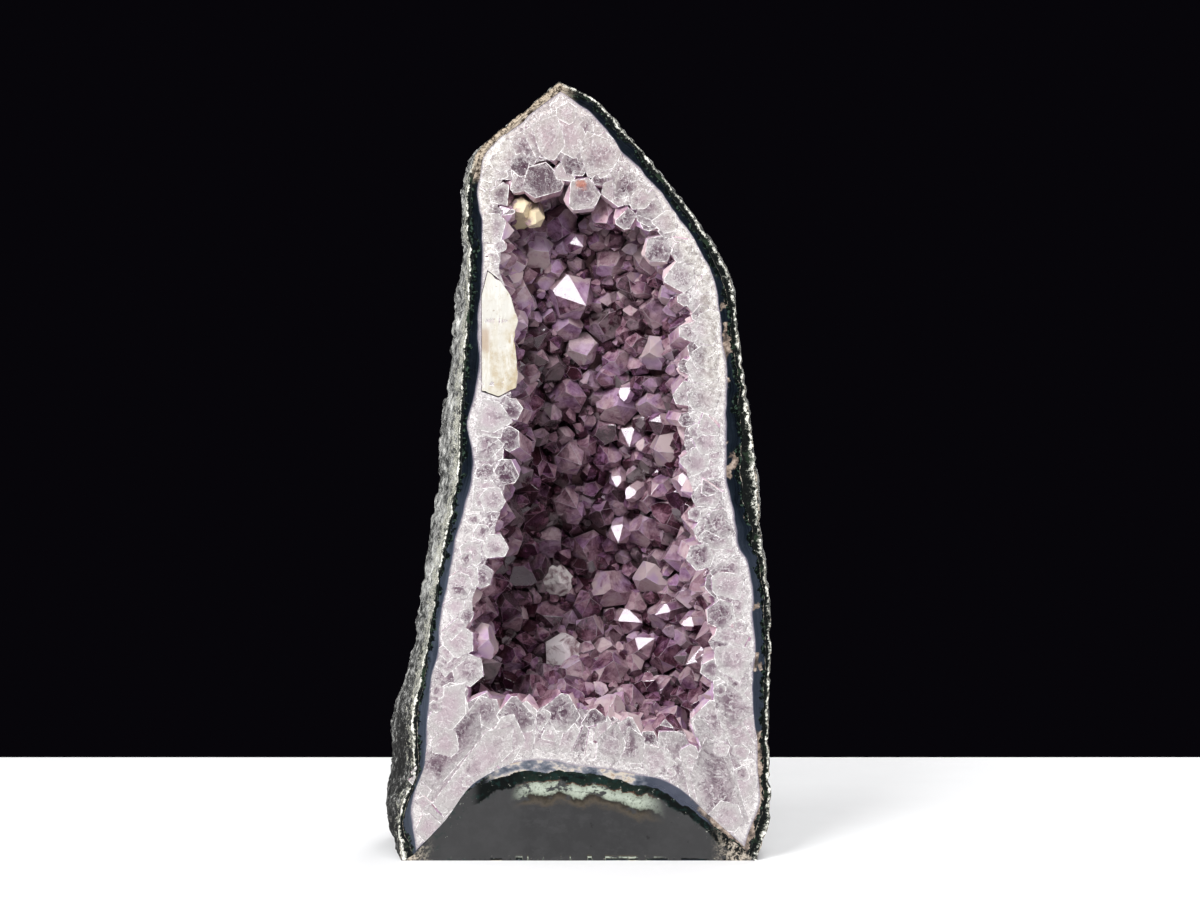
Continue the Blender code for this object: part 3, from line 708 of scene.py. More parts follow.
def sawn_basalt():
    """Polished dark stone. Under the arch it is layered by how far it lies from the agate.

    First comes the rest of the chalcedony, then green-black clay with white specks, a red-brown line, a
    pale green crust, brown speckled stone and at last the smooth dark grey dome.
    """
    r = Recipe("sawn_basalt")
    _, across, share = r.parts(r.grain())
    x, _, z = r.parts(r.place)
    wobble = r.noise(95.0, 6.0, 0.66) - 0.5
    deep = across + wobble * 12.0
    deep += r.step(x, -0.045, -0.008, -2.8, -0.8)
    fine_speck = r.noise(820.0, 4.0, 0.7)
    crumb = r.noise(430.0, 4.0, 0.7)
    layers = r.ramp(deep / 20.0, ((0.00, (0.004, 0.007, 0.006)), (0.31, (0.006, 0.013, 0.010)),
                                  (0.34, (0.070, 0.028, 0.016)), (0.37, (0.22, 0.25, 0.20)),
                                  (0.48, (0.34, 0.38, 0.32)), (0.60, (0.24, 0.27, 0.22)),
                                  (0.67, (0.016, 0.013, 0.010)), (0.80, (0.060, 0.050, 0.038)),
                                  (0.92, (0.030, 0.030, 0.031))))
    layers = r.mix(r.step(fine_speck, 0.52, 0.64) * r.step(deep, 18.0, 9.0, 0.0, 0.6), layers,
                   (0.020, 0.020, 0.015))
    plain = r.mix(r.step(deep, 5.2, 6.6) | r.step(x, -0.050, -0.056),
                  (0.002, 0.003, 0.003), (0.035, 0.035, 0.036))
    pale_zone = r.step(x, -0.036, -0.024) * r.step(x, 0.046, 0.030)
    broken = r.step(r.noise(110.0, 5.0, 0.65, at=r.stretch(r.place, (1.0, 1.0, 2.0))), 0.38, 0.44)
    dome = r.mix(pale_zone * broken, plain, layers)
    flecks = r.step(crumb, 0.64, 0.66) * r.step(deep, 11.0, 5.0)
    flecks *= r.step(x, -0.020, 0.030, 0.35, 0.85)
    dome = r.mix(flecks, dome, (0.36, 0.37, 0.33))
    teal = r.step(r.noise(260.0, 5.0, 0.65), 0.52, 0.60) * r.step(deep, 9.0, 4.0)
    dome = r.mix(teal * 0.4, dome, (0.008, 0.026, 0.023))
    mottle = r.step(r.noise(150.0, 6.0, 0.66), 0.40, 0.66)
    mottle *= r.step(deep, 5.2, 6.6)
    dome = r.mix(mottle * 0.12, dome, (0.075, 0.075, 0.078))
    scars = r.step(r.noise(240.0, 3.0, 0.6), 0.68, 0.74)
    dome = r.mix(scars * 0.5, dome, (0.010, 0.010, 0.010))
    foot_crumbs = r.step(crumble(r), 0.63, 0.69) * r.step(z, 0.0030, 0.0012)
    dome = r.mix(foot_crumbs * 0.8, dome, (0.42, 0.38, 0.32))
    corner = r.step(abs(x + 0.003), 0.070, 0.084)
    earth = r.mix(r.step(fine_speck, 0.40, 0.60), (0.030, 0.026, 0.022), (0.40, 0.35, 0.29))
    dome = r.mix(corner * r.step(crumble(r), 0.44, 0.52), dome, earth)
    chalcedony = r.step(across + wobble * 5.0, 2.0, 1.7)
    inside_arch = r.step(x, -0.050, -0.040) * r.step(x, 0.070, 0.064)
    dome = r.mix(chalcedony * inside_arch, dome, arch_chalcedony(r, x))
    rim_crust_and_shade = r.step(share, 0.85, 0.10, -0.07, 0.14) + r.noise(330.0, 6.0, 0.78)
    # Painted shade: the right half of the ring is made a little darker, as the right rim lies out of the
    # light.
    rim_crust_and_shade += r.step(x, -0.02, 0.04, 0.0, -0.025)
    ring = r.ramp(rim_crust_and_shade, ((0.50, (0.003, 0.004, 0.004)), (0.56, (0.030, 0.034, 0.028)),
                               (0.60, (0.34, 0.34, 0.30)), (0.67, (0.80, 0.79, 0.72))))
    green = r.step(r.noise(130.0, 4.0), 0.58, 0.66)
    ring = r.mix(green * 0.6, ring, (0.020, 0.036, 0.020))
    brown_top = r.step(z, 0.350, 0.362) * r.step(x, 0.0, -0.012)
    brown = r.mix(r.step(fine_speck, 0.38, 0.58), (0.045, 0.030, 0.020), (0.42, 0.35, 0.27))
    ring = r.mix(brown_top, ring, brown)
    is_side = r.step(across, 80.0, 90.0)
    return r.finish({
        "Base Color": r.mix(is_side, dome, ring),
        "Roughness": is_side * 0.35 + r.step(fine_speck, 0.3, 0.7, 0.32, 0.46),
        "Specular IOR Level": 0.07,
        "Normal": r.bump(crumble(r) * is_side, 0.9, 0.0016),
    })


# %% Build the rind
rind = mesh_piece("rough_rind", rind_parts(), [broken_basalt(), sawn_basalt()])
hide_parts("basalt_rind")
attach(rind, "root")

# %% [markdown]
# ## Agate band
# Agate lined the bubble first. Sawn through, it shows as a dark polished ribbon, a lighter blue-grey next
# to the quartz and green-black next to the basalt. It is a thin bowl; only its sawn edge shows, so the
# mesh is fine there and coarse behind.

# %% Shape and finish of the agate
AGATE_STEPS = 6
AGATE_GAP_SHARE = 0.01


def agate_parts():
    """The agate's grids: the sawn ribbon, the outer bowl and the inner bowl."""
    share = np.linspace(0, 1, AGATE_STEPS + 1)[:, None, None]
    outer, inner = on_face(fine["wall"]), on_face(fine["agate"])
    outer += (inner - outer) * AGATE_GAP_SHARE
    ribbon = outer + (inner - outer) * share
    across = np.broadcast_to(share[:, :, 0], ribbon.shape[:2])
    along = np.broadcast_to(loop_length(fine["wall"]), across.shape)
    outside = bowl_rows(ribbon[0][:, [0, 2]], fine["keel"], SEAM, HIDDEN_STEPS)
    inside = bowl_rows(ribbon[-1][:, [0, 2]], fine["keel"], BACK_AGATE, HIDDEN_STEPS)
    width = np.broadcast_to(np.linalg.norm(inner - outer, axis=1), across.shape)
    return [
        grid_part(ribbon, 0, np.stack([along, across * width, across], axis=-1)),
        grid_part(outside),
        grid_part(inside, 0, np.zeros(inside.shape) + (0, 5, 1)),
    ]


def polished_agate():
    """Dark chalcedony with clay and tan patches.

    It is slate blue low on both sides, nearly black above, cream and pale blue over the arch and tan low
    on the right. A thin lilac line parts it from the quartz.
    """
    r = Recipe("polished_agate")
    _, inward, share = r.parts(r.grain())
    x, _, z = r.parts(r.place)
    cloud = r.noise(1.0, 5.0, 0.6, at=r.stretch(r.grain(), (0.045, 0.25, 0.0)))
    lines = r.noise(1.0, 4.0, 0.6, at=r.stretch(r.grain(), (0.015, 1.3, 0.0)))
    left_low = r.step(x, 0.01, -0.03) * r.step(z, 0.215, 0.165, 0.0, 0.46)
    right = r.step(x, 0.02, 0.05) * r.step(z, 0.185, 0.150, 0.03, 0.27)
    tone = cloud * 0.5 + left_low + right
    tone += r.step(lines, 0.40, 0.60, -0.05, 0.05)
    tone += r.step(share, 0.55, 1.0, 0.0, 0.10)
    bands = r.ramp(tone, (
        (0.18, (0.002, 0.003, 0.005)), (0.36, (0.006, 0.009, 0.014)), (0.50, (0.017, 0.022, 0.033)),
        (0.68, (0.025, 0.031, 0.044)), (0.84, (0.047, 0.056, 0.076))))
    over_arch = r.step(z, 0.062, 0.056) * r.step(z, 0.014, 0.020)
    over_arch *= r.step(x, -0.050, -0.040) * r.step(x, 0.070, 0.064)
    bands = r.mix(over_arch, bands, arch_chalcedony(r, x))
    tan_zone = r.step(x, 0.055, 0.075) * r.step(z, 0.085, 0.055, 0.0, 0.20)
    tan = r.step(r.noise(60.0, 4.0, 0.6) + tan_zone, 0.55, 0.59)
    earth = r.ramp(crumble(r), ((0.40, (0.045, 0.036, 0.032)), (0.52, (0.19, 0.145, 0.118)),
                                (0.64, (0.38, 0.31, 0.26))))
    bands = r.mix(tan * r.step(x, 0.05, 0.07), bands, earth)
    clay_edge = r.noise(170.0, 6.0, 0.68)
    clay = clay_edge * 16.0 - 3.9 - inward
    green_clay = r.mix(r.step(r.noise(500.0, 3.0), 0.52, 0.62), (0.002, 0.003, 0.003),
                       (0.030, 0.050, 0.036))
    bands = r.mix(r.step(clay, 2.5, 2.8) * (1.0 - over_arch), bands, green_clay)
    bands = r.mix(r.step(share, 0.90, 0.96, 0.0, 0.6), bands, (0.21, 0.19, 0.24))
    brown_top = r.step(z, 0.347, 0.352) * r.step(x, 0.0, -0.012)
    speckled = r.mix(r.step(crumble(r), 0.42, 0.58), (0.03, 0.022, 0.016), (0.36, 0.30, 0.24))
    bands = r.mix(brown_top, bands, speckled)
    return r.finish({
        "Base Color": bands,
        "Roughness": r.step(r.noise(300.0), 0.3, 0.7, 0.14, 0.30),
        "Specular IOR Level": 0.14,
    })


agate = mesh_piece("agate_ribbon", agate_parts(), [polished_agate()])
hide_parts("agate_band")
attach(agate, "root")

# %% [markdown]
# ## Calcite block
# One cream block, calcite by its looks, sits in the left wall and was sawn with it. Its outline is a loop
# on the face, a little smaller at the back. Two shallow cracks cross it.

# %% Shape and finish of the calcite
CALCITE_OUTLINE = (
    (-49.6, 242.0), (-49.6, 291.0), (-46.5, 303.0), (-40.0, 298.0), (-35.0, 291.0), (-33.2, 284.5),
    (-31.0, 278.0), (-33.0, 268.5), (-31.0, 251.0), (-32.0, 243.5), (-41.0, 239.0),
)
CALCITE_DEPTH = 26.0
CALCITE_CHIPS = 1.3
CALCITE_TAPER = 0.86
CALCITE_SPACING, CALCITE_RINGS = 0.9, 14
CRACKS = (278.0, 246.0)
CRACK_WIDTH, CRACK_DEPTH = 0.35, 0.5


def dense_outline(outline, spacing):
    """A closed outline with a point every spacing or so along its straight sides."""
    corners = np.vstack([outline, outline[:1]])
    along = loop_length(corners)
    at = np.linspace(0, along[-1], int(along[-1] / spacing) + 1)[:-1]
    return np.column_stack([np.interp(at, along, corners[:, 0]), np.interp(at, along, corners[:, 1])])


def calcite_parts():
    """A block as rings: from the middle of the front out to its edge, back along the sides and closed."""
    loop = dense_outline(np.array(CALCITE_OUTLINE), CALCITE_SPACING)
    middle = loop.mean(axis=0)
    chips = lattice_noise(on_face(loop), 6.0, 63) + 0.6 * lattice_noise(on_face(loop), 2.5, 64)
    chips = CALCITE_CHIPS * np.clip(chips, 0, 1) * (loop[:, 0] > CALCITE_OUTLINE[0][0] + 1)
    loop += unit(middle - loop) * chips[:, None]
    rings = []
    for size in np.linspace(0, 1, CALCITE_RINGS):
        rings.append(on_face(middle + (loop - middle) * size))
    for y in np.linspace(0, CALCITE_DEPTH, CALCITE_RINGS)[1:]:
        size = 1 + (CALCITE_TAPER - 1) * y / CALCITE_DEPTH
        rings.append(on_face(middle + (loop - middle) * size, FACE_Y + y))
    rings.append(on_face(np.tile(middle, (len(loop), 1)), FACE_Y + CALCITE_DEPTH))
    rows = np.array(rings)
    flat = rows.reshape(-1, 3)
    waver = 1.2 * lattice_noise(flat * (0, 0, 1), 7.0, 61)
    groove = sum(np.exp(-((flat[:, 2] - z + waver) / CRACK_WIDTH) ** 2) for z in CRACKS)
    on_front = np.isclose(flat[:, 1], FACE_Y)
    flat[:, 1] += np.where(on_front, CRACK_DEPTH * groove, 0)
    rough = 0.35 * lattice_noise(flat, 3.0, 62)
    outward = unit(flat[:, [0, 2]] - middle, 1.0)
    flat[:, [0, 2]] -= outward * np.where(on_front, 0, np.abs(rough))[:, None]
    return [grid_part(rows)]


def cream_calcite():
    """Opaque cream stone, white above and stained yellow lower down and along its right edge."""
    r = Recipe("cream_calcite")
    x, _, z = r.parts(r.place)
    blotch = r.noise(140.0, 6.0, 0.65)
    streak = r.noise(420.0, 5.0, 0.65, at=r.stretch(r.place, (1.0, 1.0, 0.25)))
    stain = blotch + r.step(z, 0.285, 0.255, -0.07, 0.08)
    stain += r.step(x, -0.040, -0.032, 0.0, 0.07)
    colour = r.ramp(stain,
                    ((0.42, (0.48, 0.465, 0.43)), (0.56, (0.46, 0.43, 0.37)), (0.72, (0.37, 0.305, 0.21))))
    colour = r.mix(r.step(streak, 0.48, 0.62, 0.0, 0.7), colour, (0.55, 0.54, 0.51))
    colour = r.mix(r.step(r.noise(190.0, 5.0, 0.7), 0.54, 0.66, 0.0, 0.35), colour,
                   (0.36, 0.31, 0.25))
    pits = r.step(r.noise(520.0, 3.0), 0.66, 0.72)
    colour = r.mix(pits * 0.5, colour, (0.20, 0.14, 0.09))
    beige = r.step(x, -0.0440, -0.0475) * r.step(z, 0.260, 0.264) * r.step(z, 0.276, 0.272)
    colour = r.mix(beige * 0.8, colour, (0.33, 0.25, 0.19))
    return r.finish({
        "Base Color": colour,
        "Roughness": 0.45,
        "Specular IOR Level": 0.3,
        "Normal": r.bump(streak, 0.35, 0.0006),
    })


calcite = mesh_piece("cream_block", calcite_parts(), [cream_calcite()])
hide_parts("calcite_block")
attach(calcite, "root")

# %% [markdown]
# ## Quartz bed
# Milky quartz grew on the agate as columns that stand square to the wall. It is one more bowl with a
# wall; sawn through, its columns show as pale cells with white outlines. The grain tells the finish how
# far each point lies along the wall and in from it, so the cells turn with the wall.

# %% Shape of the quartz bed
BED_SKIP = 2
BED_SINK = 0.3
BED_OUTSIDE_STEPS, BED_INSIDE_STEPS = 10, 40
LIP_SHARE, LIP_RAGGED = 0.88, 0.16
LIP_DEPTH = 8.0
STAIN_PLACE = (0.0015, -0.070, 0.3475)
POCKET_SCALE, POCKET_START = 1.02, 2.0


def wall_grain(points):
    """For each point, how far along and in from the agate's inner edge it lies, and the share of width."""
    edge = fine["agate"]
    along = loop_length(edge)
    width = np.linalg.norm(fine["quartz"] - edge, axis=1)
    flat = points[:, [0, 2]]
    grain = np.empty((len(points), 3))
    for start in range(0, len(points), 4000):
        chunk = flat[start : start + 4000]
        far = np.hypot(chunk[:, :1] - edge[:, 0], chunk[:, 1:] - edge[:, 1])
        near = far.argmin(axis=1)
        off = far[np.arange(len(chunk)), near]
        grain[start : start + 4000] = np.column_stack([along[near], off, off / width[near]])
    return grain


def bed_parts():
    """The bed's grids: the sawn strip, the outside on the agate and the inside that crystals root in.

    At the face the bed is thicker by a lip, which thins out behind it: lip exp(-depth / 8).
    """
    agate_edge = fine["agate"][::BED_SKIP]
    keel = fine["keel"][::BED_SKIP]
    across = fine["quartz"][::BED_SKIP] - agate_edge
    root = agate_edge + across * ROOT_SHARE
    ragged = LIP_RAGGED * np.clip(lattice_noise(on_face(agate_edge), 8.0, 72), -1, 0.3)
    lip = (LIP_SHARE - ROOT_SHARE + ragged)[:, None] * across
    inside = bowl_rows(root, keel, BACK_AGATE + BACK_QUARTZ, BED_INSIDE_STEPS)
    inside[:-1, :, [0, 2]] += lip * np.exp(-(inside[:-1, :, 1:2] - FACE_Y) / LIP_DEPTH)
    share = np.linspace(0, 1, 9)[:, None, None]
    outer = on_face(agate_edge, FACE_Y + BED_SINK)
    inner = on_face(inside[0][:, [0, 2]], FACE_Y + BED_SINK)
    strip = outer + (inner - outer) * share
    outside = bowl_rows(agate_edge, keel, BACK_AGATE + SEAM, BED_OUTSIDE_STEPS)
    outside[0, :, 1] = inside[0, :, 1] = FACE_Y + BED_SINK
    bumps = lattice_noise(inside.reshape(-1, 3), 4.0, 71).reshape(inside.shape[:2])
    inside[1:-1, :, 1] += 0.8 * bumps[1:-1]
    return [grid_part(rows, number, wall_grain(rows.reshape(-1, 3)))
            for rows, number in ((strip, 1), (outside, 0), (inside, 0))]


# %% [markdown]
# Sawn quartz is a network: each column is a cell, grey-lilac and cloudy inside, white along its outline
# where light is caught. Cells of two sizes overlap, and fine sugary grain lies next to the agate. The
# same finish, with other shares, goes on the crystals that the saw cut through.

# %% Finish of the sawn quartz
QUARTZ_IOR = 1.544


def cells(r, vector, scale, seed_shift):
    """Irregular cells: how near their outline is, and a random tone for each."""
    moved = r.stretch(vector, (scale[0], scale[1], 1.0), (seed_shift, seed_shift, seed_shift))
    edge = r.add("TexVoronoi", {"Vector": moved, "Scale": 1.0, "Randomness": 1.0},
                 feature="DISTANCE_TO_EDGE")
    fill = r.add("TexVoronoi", {"Vector": moved, "Scale": 1.0, "Randomness": 1.0}, feature="F1")
    tone = r.parts(fill.outputs["Color"])[0]
    return Value(r, edge.outputs["Distance"]), tone


def red_stain(r, colour):
    """The small orange-red stain of iron high in the middle."""
    off = Value(r, r.vector("DISTANCE", r.place, STAIN_PLACE, "Value"))
    blur = r.noise(300.0, 4.0, 0.6) * 0.008
    return r.mix(r.step(off + blur, 0.0075, 0.0050, 0.0, 0.7), colour, (0.46, 0.12, 0.055))


def sawn_quartz(name, clear, sugary, shade, lines, zoned):
    """Cloudy columns with broken white outlines, sugary next to the agate and lilac towards the hollow.

    Clear is how much light goes through, sugary how much of the surface is fine white grain, shade is
    added to the tone beside each crystal's own chance, lines is the strength of the white lines, and zoned
    is how much darker and more purple a crystal is at its heart.
    """
    r = Recipe(name)
    grain = r.grain()
    chance = r.attribute("chance")
    _, inward, share = r.parts(grain)
    x, _, z = r.parts(r.place)
    warp = r.add("TexNoise",
                 {"Vector": r.place, "Scale": 140.0, "Detail": 4.0, "Roughness": 0.6}).outputs["Color"]
    warp = r.scaled(r.vector("SUBTRACT", warp, (0.5, 0.5, 0.5)), 10.0)
    bent = r.vector("ADD", grain, warp)
    column_edge, column_tone = cells(r, bent, (0.16, 0.060), 3.1)
    small_edge, small_tone = cells(r, bent, (0.42, 0.30), 7.7)
    broken = r.noise(260.0, 4.0, 0.65)
    outline = r.step(column_edge, 0.035, 0.012) * r.step(broken, 0.38, 0.46)
    patchy = r.step(r.noise(55.0, 3.0), 0.46, 0.54)
    network = r.step(small_edge, 0.050, 0.02) * patchy * r.step(broken, 0.46, 0.52)
    wander = abs(r.noise(62.0, 4.0, 0.60, 0.5) - 0.5)
    curls = r.step(wander, 0.010, 0.004) * r.step(broken, 0.56, 0.48)
    cloud = r.noise(80.0, 5.0, 0.62)
    veil = r.noise(420.0, 6.0, 0.72, 0.6)
    fibre = r.noise(1.0, 5.0, 0.72, at=r.stretch(grain, (2.6, 0.40, 0.0)))
    tone = column_tone * 0.22 + small_tone * 0.12
    tone += chance * 0.55 + shade
    tone += cloud * 0.20 + veil * 0.30
    tone += fibre * 0.32
    tone += r.step(share, 0.95, 0.30, -0.14, 0.06)
    heart = r.attribute("heart")
    zone = r.step(heart + (cloud - 0.5) * 0.9, 0.02, 0.70)
    tone += zone * -zoned + zoned * 0.5
    body = r.ramp(tone, ((0.42, (0.085, 0.048, 0.073)), (0.53, (0.165, 0.123, 0.148)),
                         (0.63, (0.260, 0.226, 0.244)), (0.73, (0.360, 0.334, 0.340)),
                         (0.90, (0.500, 0.478, 0.474))))
    sugar_grain = r.step(r.noise(900.0, 3.0, 0.7), 0.47, 0.60)
    sugar_place = r.step(share, 0.75, 0.05, -0.10, 0.22) + r.noise(110.0, 5.0, 0.65)
    sugar = sugar_grain * r.step(sugar_place, 0.50, 0.62, 0.10, 1.0)
    body = r.mix(sugar * sugary, body, (0.60, 0.578, 0.565))
    crown = r.mix(r.step(z, 0.315, 0.35), (0.965, 0.945, 0.955), (0.85, 0.79, 0.785))
    body = r.mix(1.0, body, crown, "MULTIPLY")
    body = r.mix(1.0, body, r.mix(r.step(z, 0.100, 0.060), (1.0, 1.0, 1.0), (0.90, 0.895, 0.89)),
                 "MULTIPLY")
    purple_heart = r.mix(zone * 3.0 * zoned, (1.0, 1.0, 1.0), (0.94, 0.76, 0.88))
    body = r.mix(1.0, body, purple_heart, "MULTIPLY")
    right_high = r.step(x, 0.035, 0.055) * r.step(z, 0.215, 0.26)
    left_high = r.step(x, -0.030, -0.040) * r.step(z, 0.29, 0.31)
    warm = r.mix(r.step(veil, 0.40, 0.60), (0.34, 0.300, 0.275), (0.68, 0.645, 0.605))
    warm_share = (right_high | left_high) * r.step(share, 0.75, 0.35, 0.1, 0.85)
    body = r.mix(warm_share, body, warm)
    white = (outline | curls | network) * lines
    colour = r.mix(white * 0.8, body, (0.78, 0.755, 0.75))
    border = r.step(inward, 1.3, 0.3) * 0.6
    colour = r.mix(border, colour, (0.22, 0.185, 0.23))
    return r.finish({
        "Base Color": red_stain(r, colour),
        "Roughness": r.step(r.noise(350.0), 0.35, 0.65, 0.16, 0.42),
        "IOR": QUARTZ_IOR,
        "Transmission Weight": clear,
        "Normal": r.bump(white * 0.6 + veil * 0.8, 0.35, 0.0006),
    })


def milky_quartz_in_painted_shade():
    """The bed under the crystals: brownish purple, coloured dark as painted shade in the gaps between them.
    """
    r = Recipe("milky_quartz_in_painted_shade")
    cloud = r.noise(80.0, 5.0, 0.6)
    speck = r.noise(420.0, 3.0)
    # Painted shade: the bed is coloured dark for the shade in the gaps between the crystals.
    colour = r.ramp(cloud, ((0.35, (0.050, 0.022, 0.030)), (0.55, (0.125, 0.068, 0.080)),
                            (0.7, (0.23, 0.150, 0.145))))
    return r.finish({
        "Base Color": colour,
        "Roughness": 0.8,
        "Specular IOR Level": 0.08,
        "Normal": r.bump(speck, 0.6, 0.001),
    })


def cut_pocket(piece, outline, depth):
    """Cuts a block-shaped pocket into a closed piece, with a Boolean that is applied at once."""
    ring = np.array(outline)
    middle = ring.mean(axis=0)
    ring = middle + (ring - middle) * POCKET_SCALE
    count = len(ring)
    points = np.vstack([on_face(ring, FACE_Y - POCKET_START), on_face(ring, FACE_Y + depth)])
    faces = grid_faces(2, count, True) + [tuple(range(count)), tuple(range(count, 2 * count))]
    cutter = mesh_piece("pocket", [(points, faces, 0, np.zeros((2 * count, 3)))], [])
    modifier = piece.modifiers.new("pocket", "BOOLEAN")
    modifier.operation = "DIFFERENCE"
    modifier.object = cutter
    graph = bpy.context.evaluated_depsgraph_get()
    cut = bpy.data.meshes.new_from_object(piece.evaluated_get(graph))
    piece.modifiers.clear()
    piece.data = cut
    bpy.data.objects.remove(cutter)


bed_finishes = [milky_quartz_in_painted_shade(),
                sawn_quartz("sawn_bed", clear=0.10, sugary=1.0, shade=0.16, lines=1.0, zoned=0.0)]
bed = mesh_piece("quartz_bed", bed_parts(), bed_finishes)
cut_pocket(bed, CALCITE_OUTLINE, CALCITE_DEPTH)
bed.data.set_sharp_from_angle(angle=SHARP_ANGLE)
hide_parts("crystal_crust")
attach(bed, "root")

# %% [markdown]
# ## Amethyst points
# A quartz crystal is a six-sided prism under six sloping faces, three of them usually larger. The
# simplest way to get true flat faces is to say where each face's plane lies and keep what is inside all
# of them. Each larger crystal has planes of its own; the small ones share 36 shapes, turned and scaled.

# %% One crystal from its planes
TIP_SLOPE = math.radians(51.8)
TIP_HEIGHT = 1.1
APOTHEM = 0.866
FLAT_ANGLE = 0.02
# The fourth material number is for bevelled crystal edges, coloured paler as a painted highlight.
CLEAR_FACE, SAWN_FACE, SAWN_OUTLINE, HIGHLIGHT_EDGE, MILKY_FACE = range(5)


def crystal_planes(draw, even):
    """Planes of a crystal of radius 1: six prism sides, three large and three small tip faces, the foot.

    Each row is a direction that points outwards and how far from the origin the plane lies in it. On an
    even crystal all six tip faces lie equally far out.
    """
    rows = []
    favoured = draw.randrange(3)
    uneven = 0.0 if even else 1.0
    for side in range(6):
        angle = side * math.pi / 3
        rows.append((math.cos(angle), math.sin(angle), 0.0, APOTHEM * draw.uniform(0.84, 1.06)))
        far = TIP_HEIGHT * math.cos(TIP_SLOPE)
        if side % 2 == 0:
            nearer = draw.uniform(0.0, 0.08)
            if side // 2 == favoured:
                nearer += draw.uniform(0.05, 0.22)
            far -= uneven * nearer
        else:
            far += uneven * draw.uniform(-0.02, 0.16)
        slope = math.sin(TIP_SLOPE)
        rows.append((slope * math.cos(angle), slope * math.sin(angle), math.cos(TIP_SLOPE), far))
    rows.append((0.0, 0.0, -1.0, 1.0))
    return np.array(rows)


def crystal_shape(draw, bevel, even=False):
    """Corners and faces of the body inside all planes of a crystal, its edges bevelled if asked.

    Three planes meet in one point; the points that lie inside all the other planes are the corners.
    """
    planes = crystal_planes(draw, even)
    trios = np.array(list(itertools.combinations(range(len(planes)), 3)))
    sides, far = planes[trios, :3], planes[trios, 3]
    solid = np.abs(np.linalg.det(sides)) > 1e-6
    corners = np.linalg.solve(sides[solid], far[solid][..., None])[..., 0]
    inside = np.all(corners @ planes[:, :3].T <= planes[:, 3] + 1e-7, axis=1)
    body = bmesh.new()
    for corner in corners[inside]:
        body.verts.new(corner)
    bmesh.ops.remove_doubles(body, verts=body.verts, dist=0.002)
    bmesh.ops.convex_hull(body, input=body.verts)
    flat = [edge for edge in body.edges if len(edge.link_faces) == 2 and edge.calc_face_angle() < FLAT_ANGLE]
    bmesh.ops.dissolve_edges(body, edges=flat, use_verts=False)
    if bevel:
        edges = [e for e in body.edges if max(v.co.z for v in e.verts) > -0.9]
        bmesh.ops.bevel(body, geom=edges, offset=bevel, segments=1, affect="EDGES", clamp_overlap=True,
                        material=HIGHLIGHT_EDGE)
    body.verts.index_update()
    points = np.array([v.co for v in body.verts])
    faces = [tuple(v.index for v in face.verts) for face in body.faces]
    numbers = [face.material_index for face in body.faces]
    body.free()
    return points, faces, numbers


sample = crystal_shape(random.Random(1), 0.03)
print("a large crystal has", len(sample[1]), "faces")

# %% [markdown]
# The crystals stand where those of the solid crust stand: first the ones that can be picked out in the
# photo, at the spots of the face where they are seen, then others strewn between them. The kinds after
# them only this script has: crystals in the plane of the saw, which cut them lengthwise, crystals that it
# cut across, some that flash, and middle-sized and small ones in the gaps.

# %% Where crystals stand
CRYSTAL_SEED = 11
CRYSTAL_TRIES = 3000
CRYSTAL_RADIUS = (8.5, 13.0)
CRYSTAL_SPACING = 0.9
CRYSTAL_SHAFT = (1.0, 6.0)
CRYSTAL_LEAN = 0.28
NAMED_LEAN, NAMED_REACH, NAMED_SHAFT = 0.35, 10.0, 0.5
ROOT_DEPTH = 0.6
FIRST_TURN = 0.02
LAST_TURN = math.radians(80)
CLEAR_OF_SAW = 7.0

# Heights between which the calcite keeps sawn crystals away on the left
COLUMN_GAP, MET_GAP = (236.0, 306.0), (233.0, 308.0)

# Sawn lengthwise: spacing, radius, reach as a share of the quartz, lean, place before or behind the face
# as a share of the radius, and the least reach for each millimetre of radius
COLUMN_PITCH = 10.0
COLUMN_RADIUS = (6.0, 12.5)
COLUMN_REACH = (0.90, 1.25)
COLUMN_LEAN = 0.28
COLUMN_SHIFT = (-0.45, 0.55)
LEAST_REACH = 1.25

# Met by the saw: tries, radius and its largest share of the quartz, spacing, lean and reach
MET_TRIES = 1600
MET_RADIUS, MET_LARGEST = (4.0, 11.0), 0.38
MET_SPACING = 0.76
MET_LEAN = 0.4
MET_STREWN_REACH = (4.0, 9.0)

# Seed, tries, radius from and to, spacing, shaft from and to, and lean of the two kinds between them
MIDDLE_SIZED = (12, 14000, (5.2, 9.8), 0.66, (1.0, 9.0), 0.55)
SMALL = (13, 12000, (2.6, 4.8), 0.62, (2.0, 7.0), 0.7)

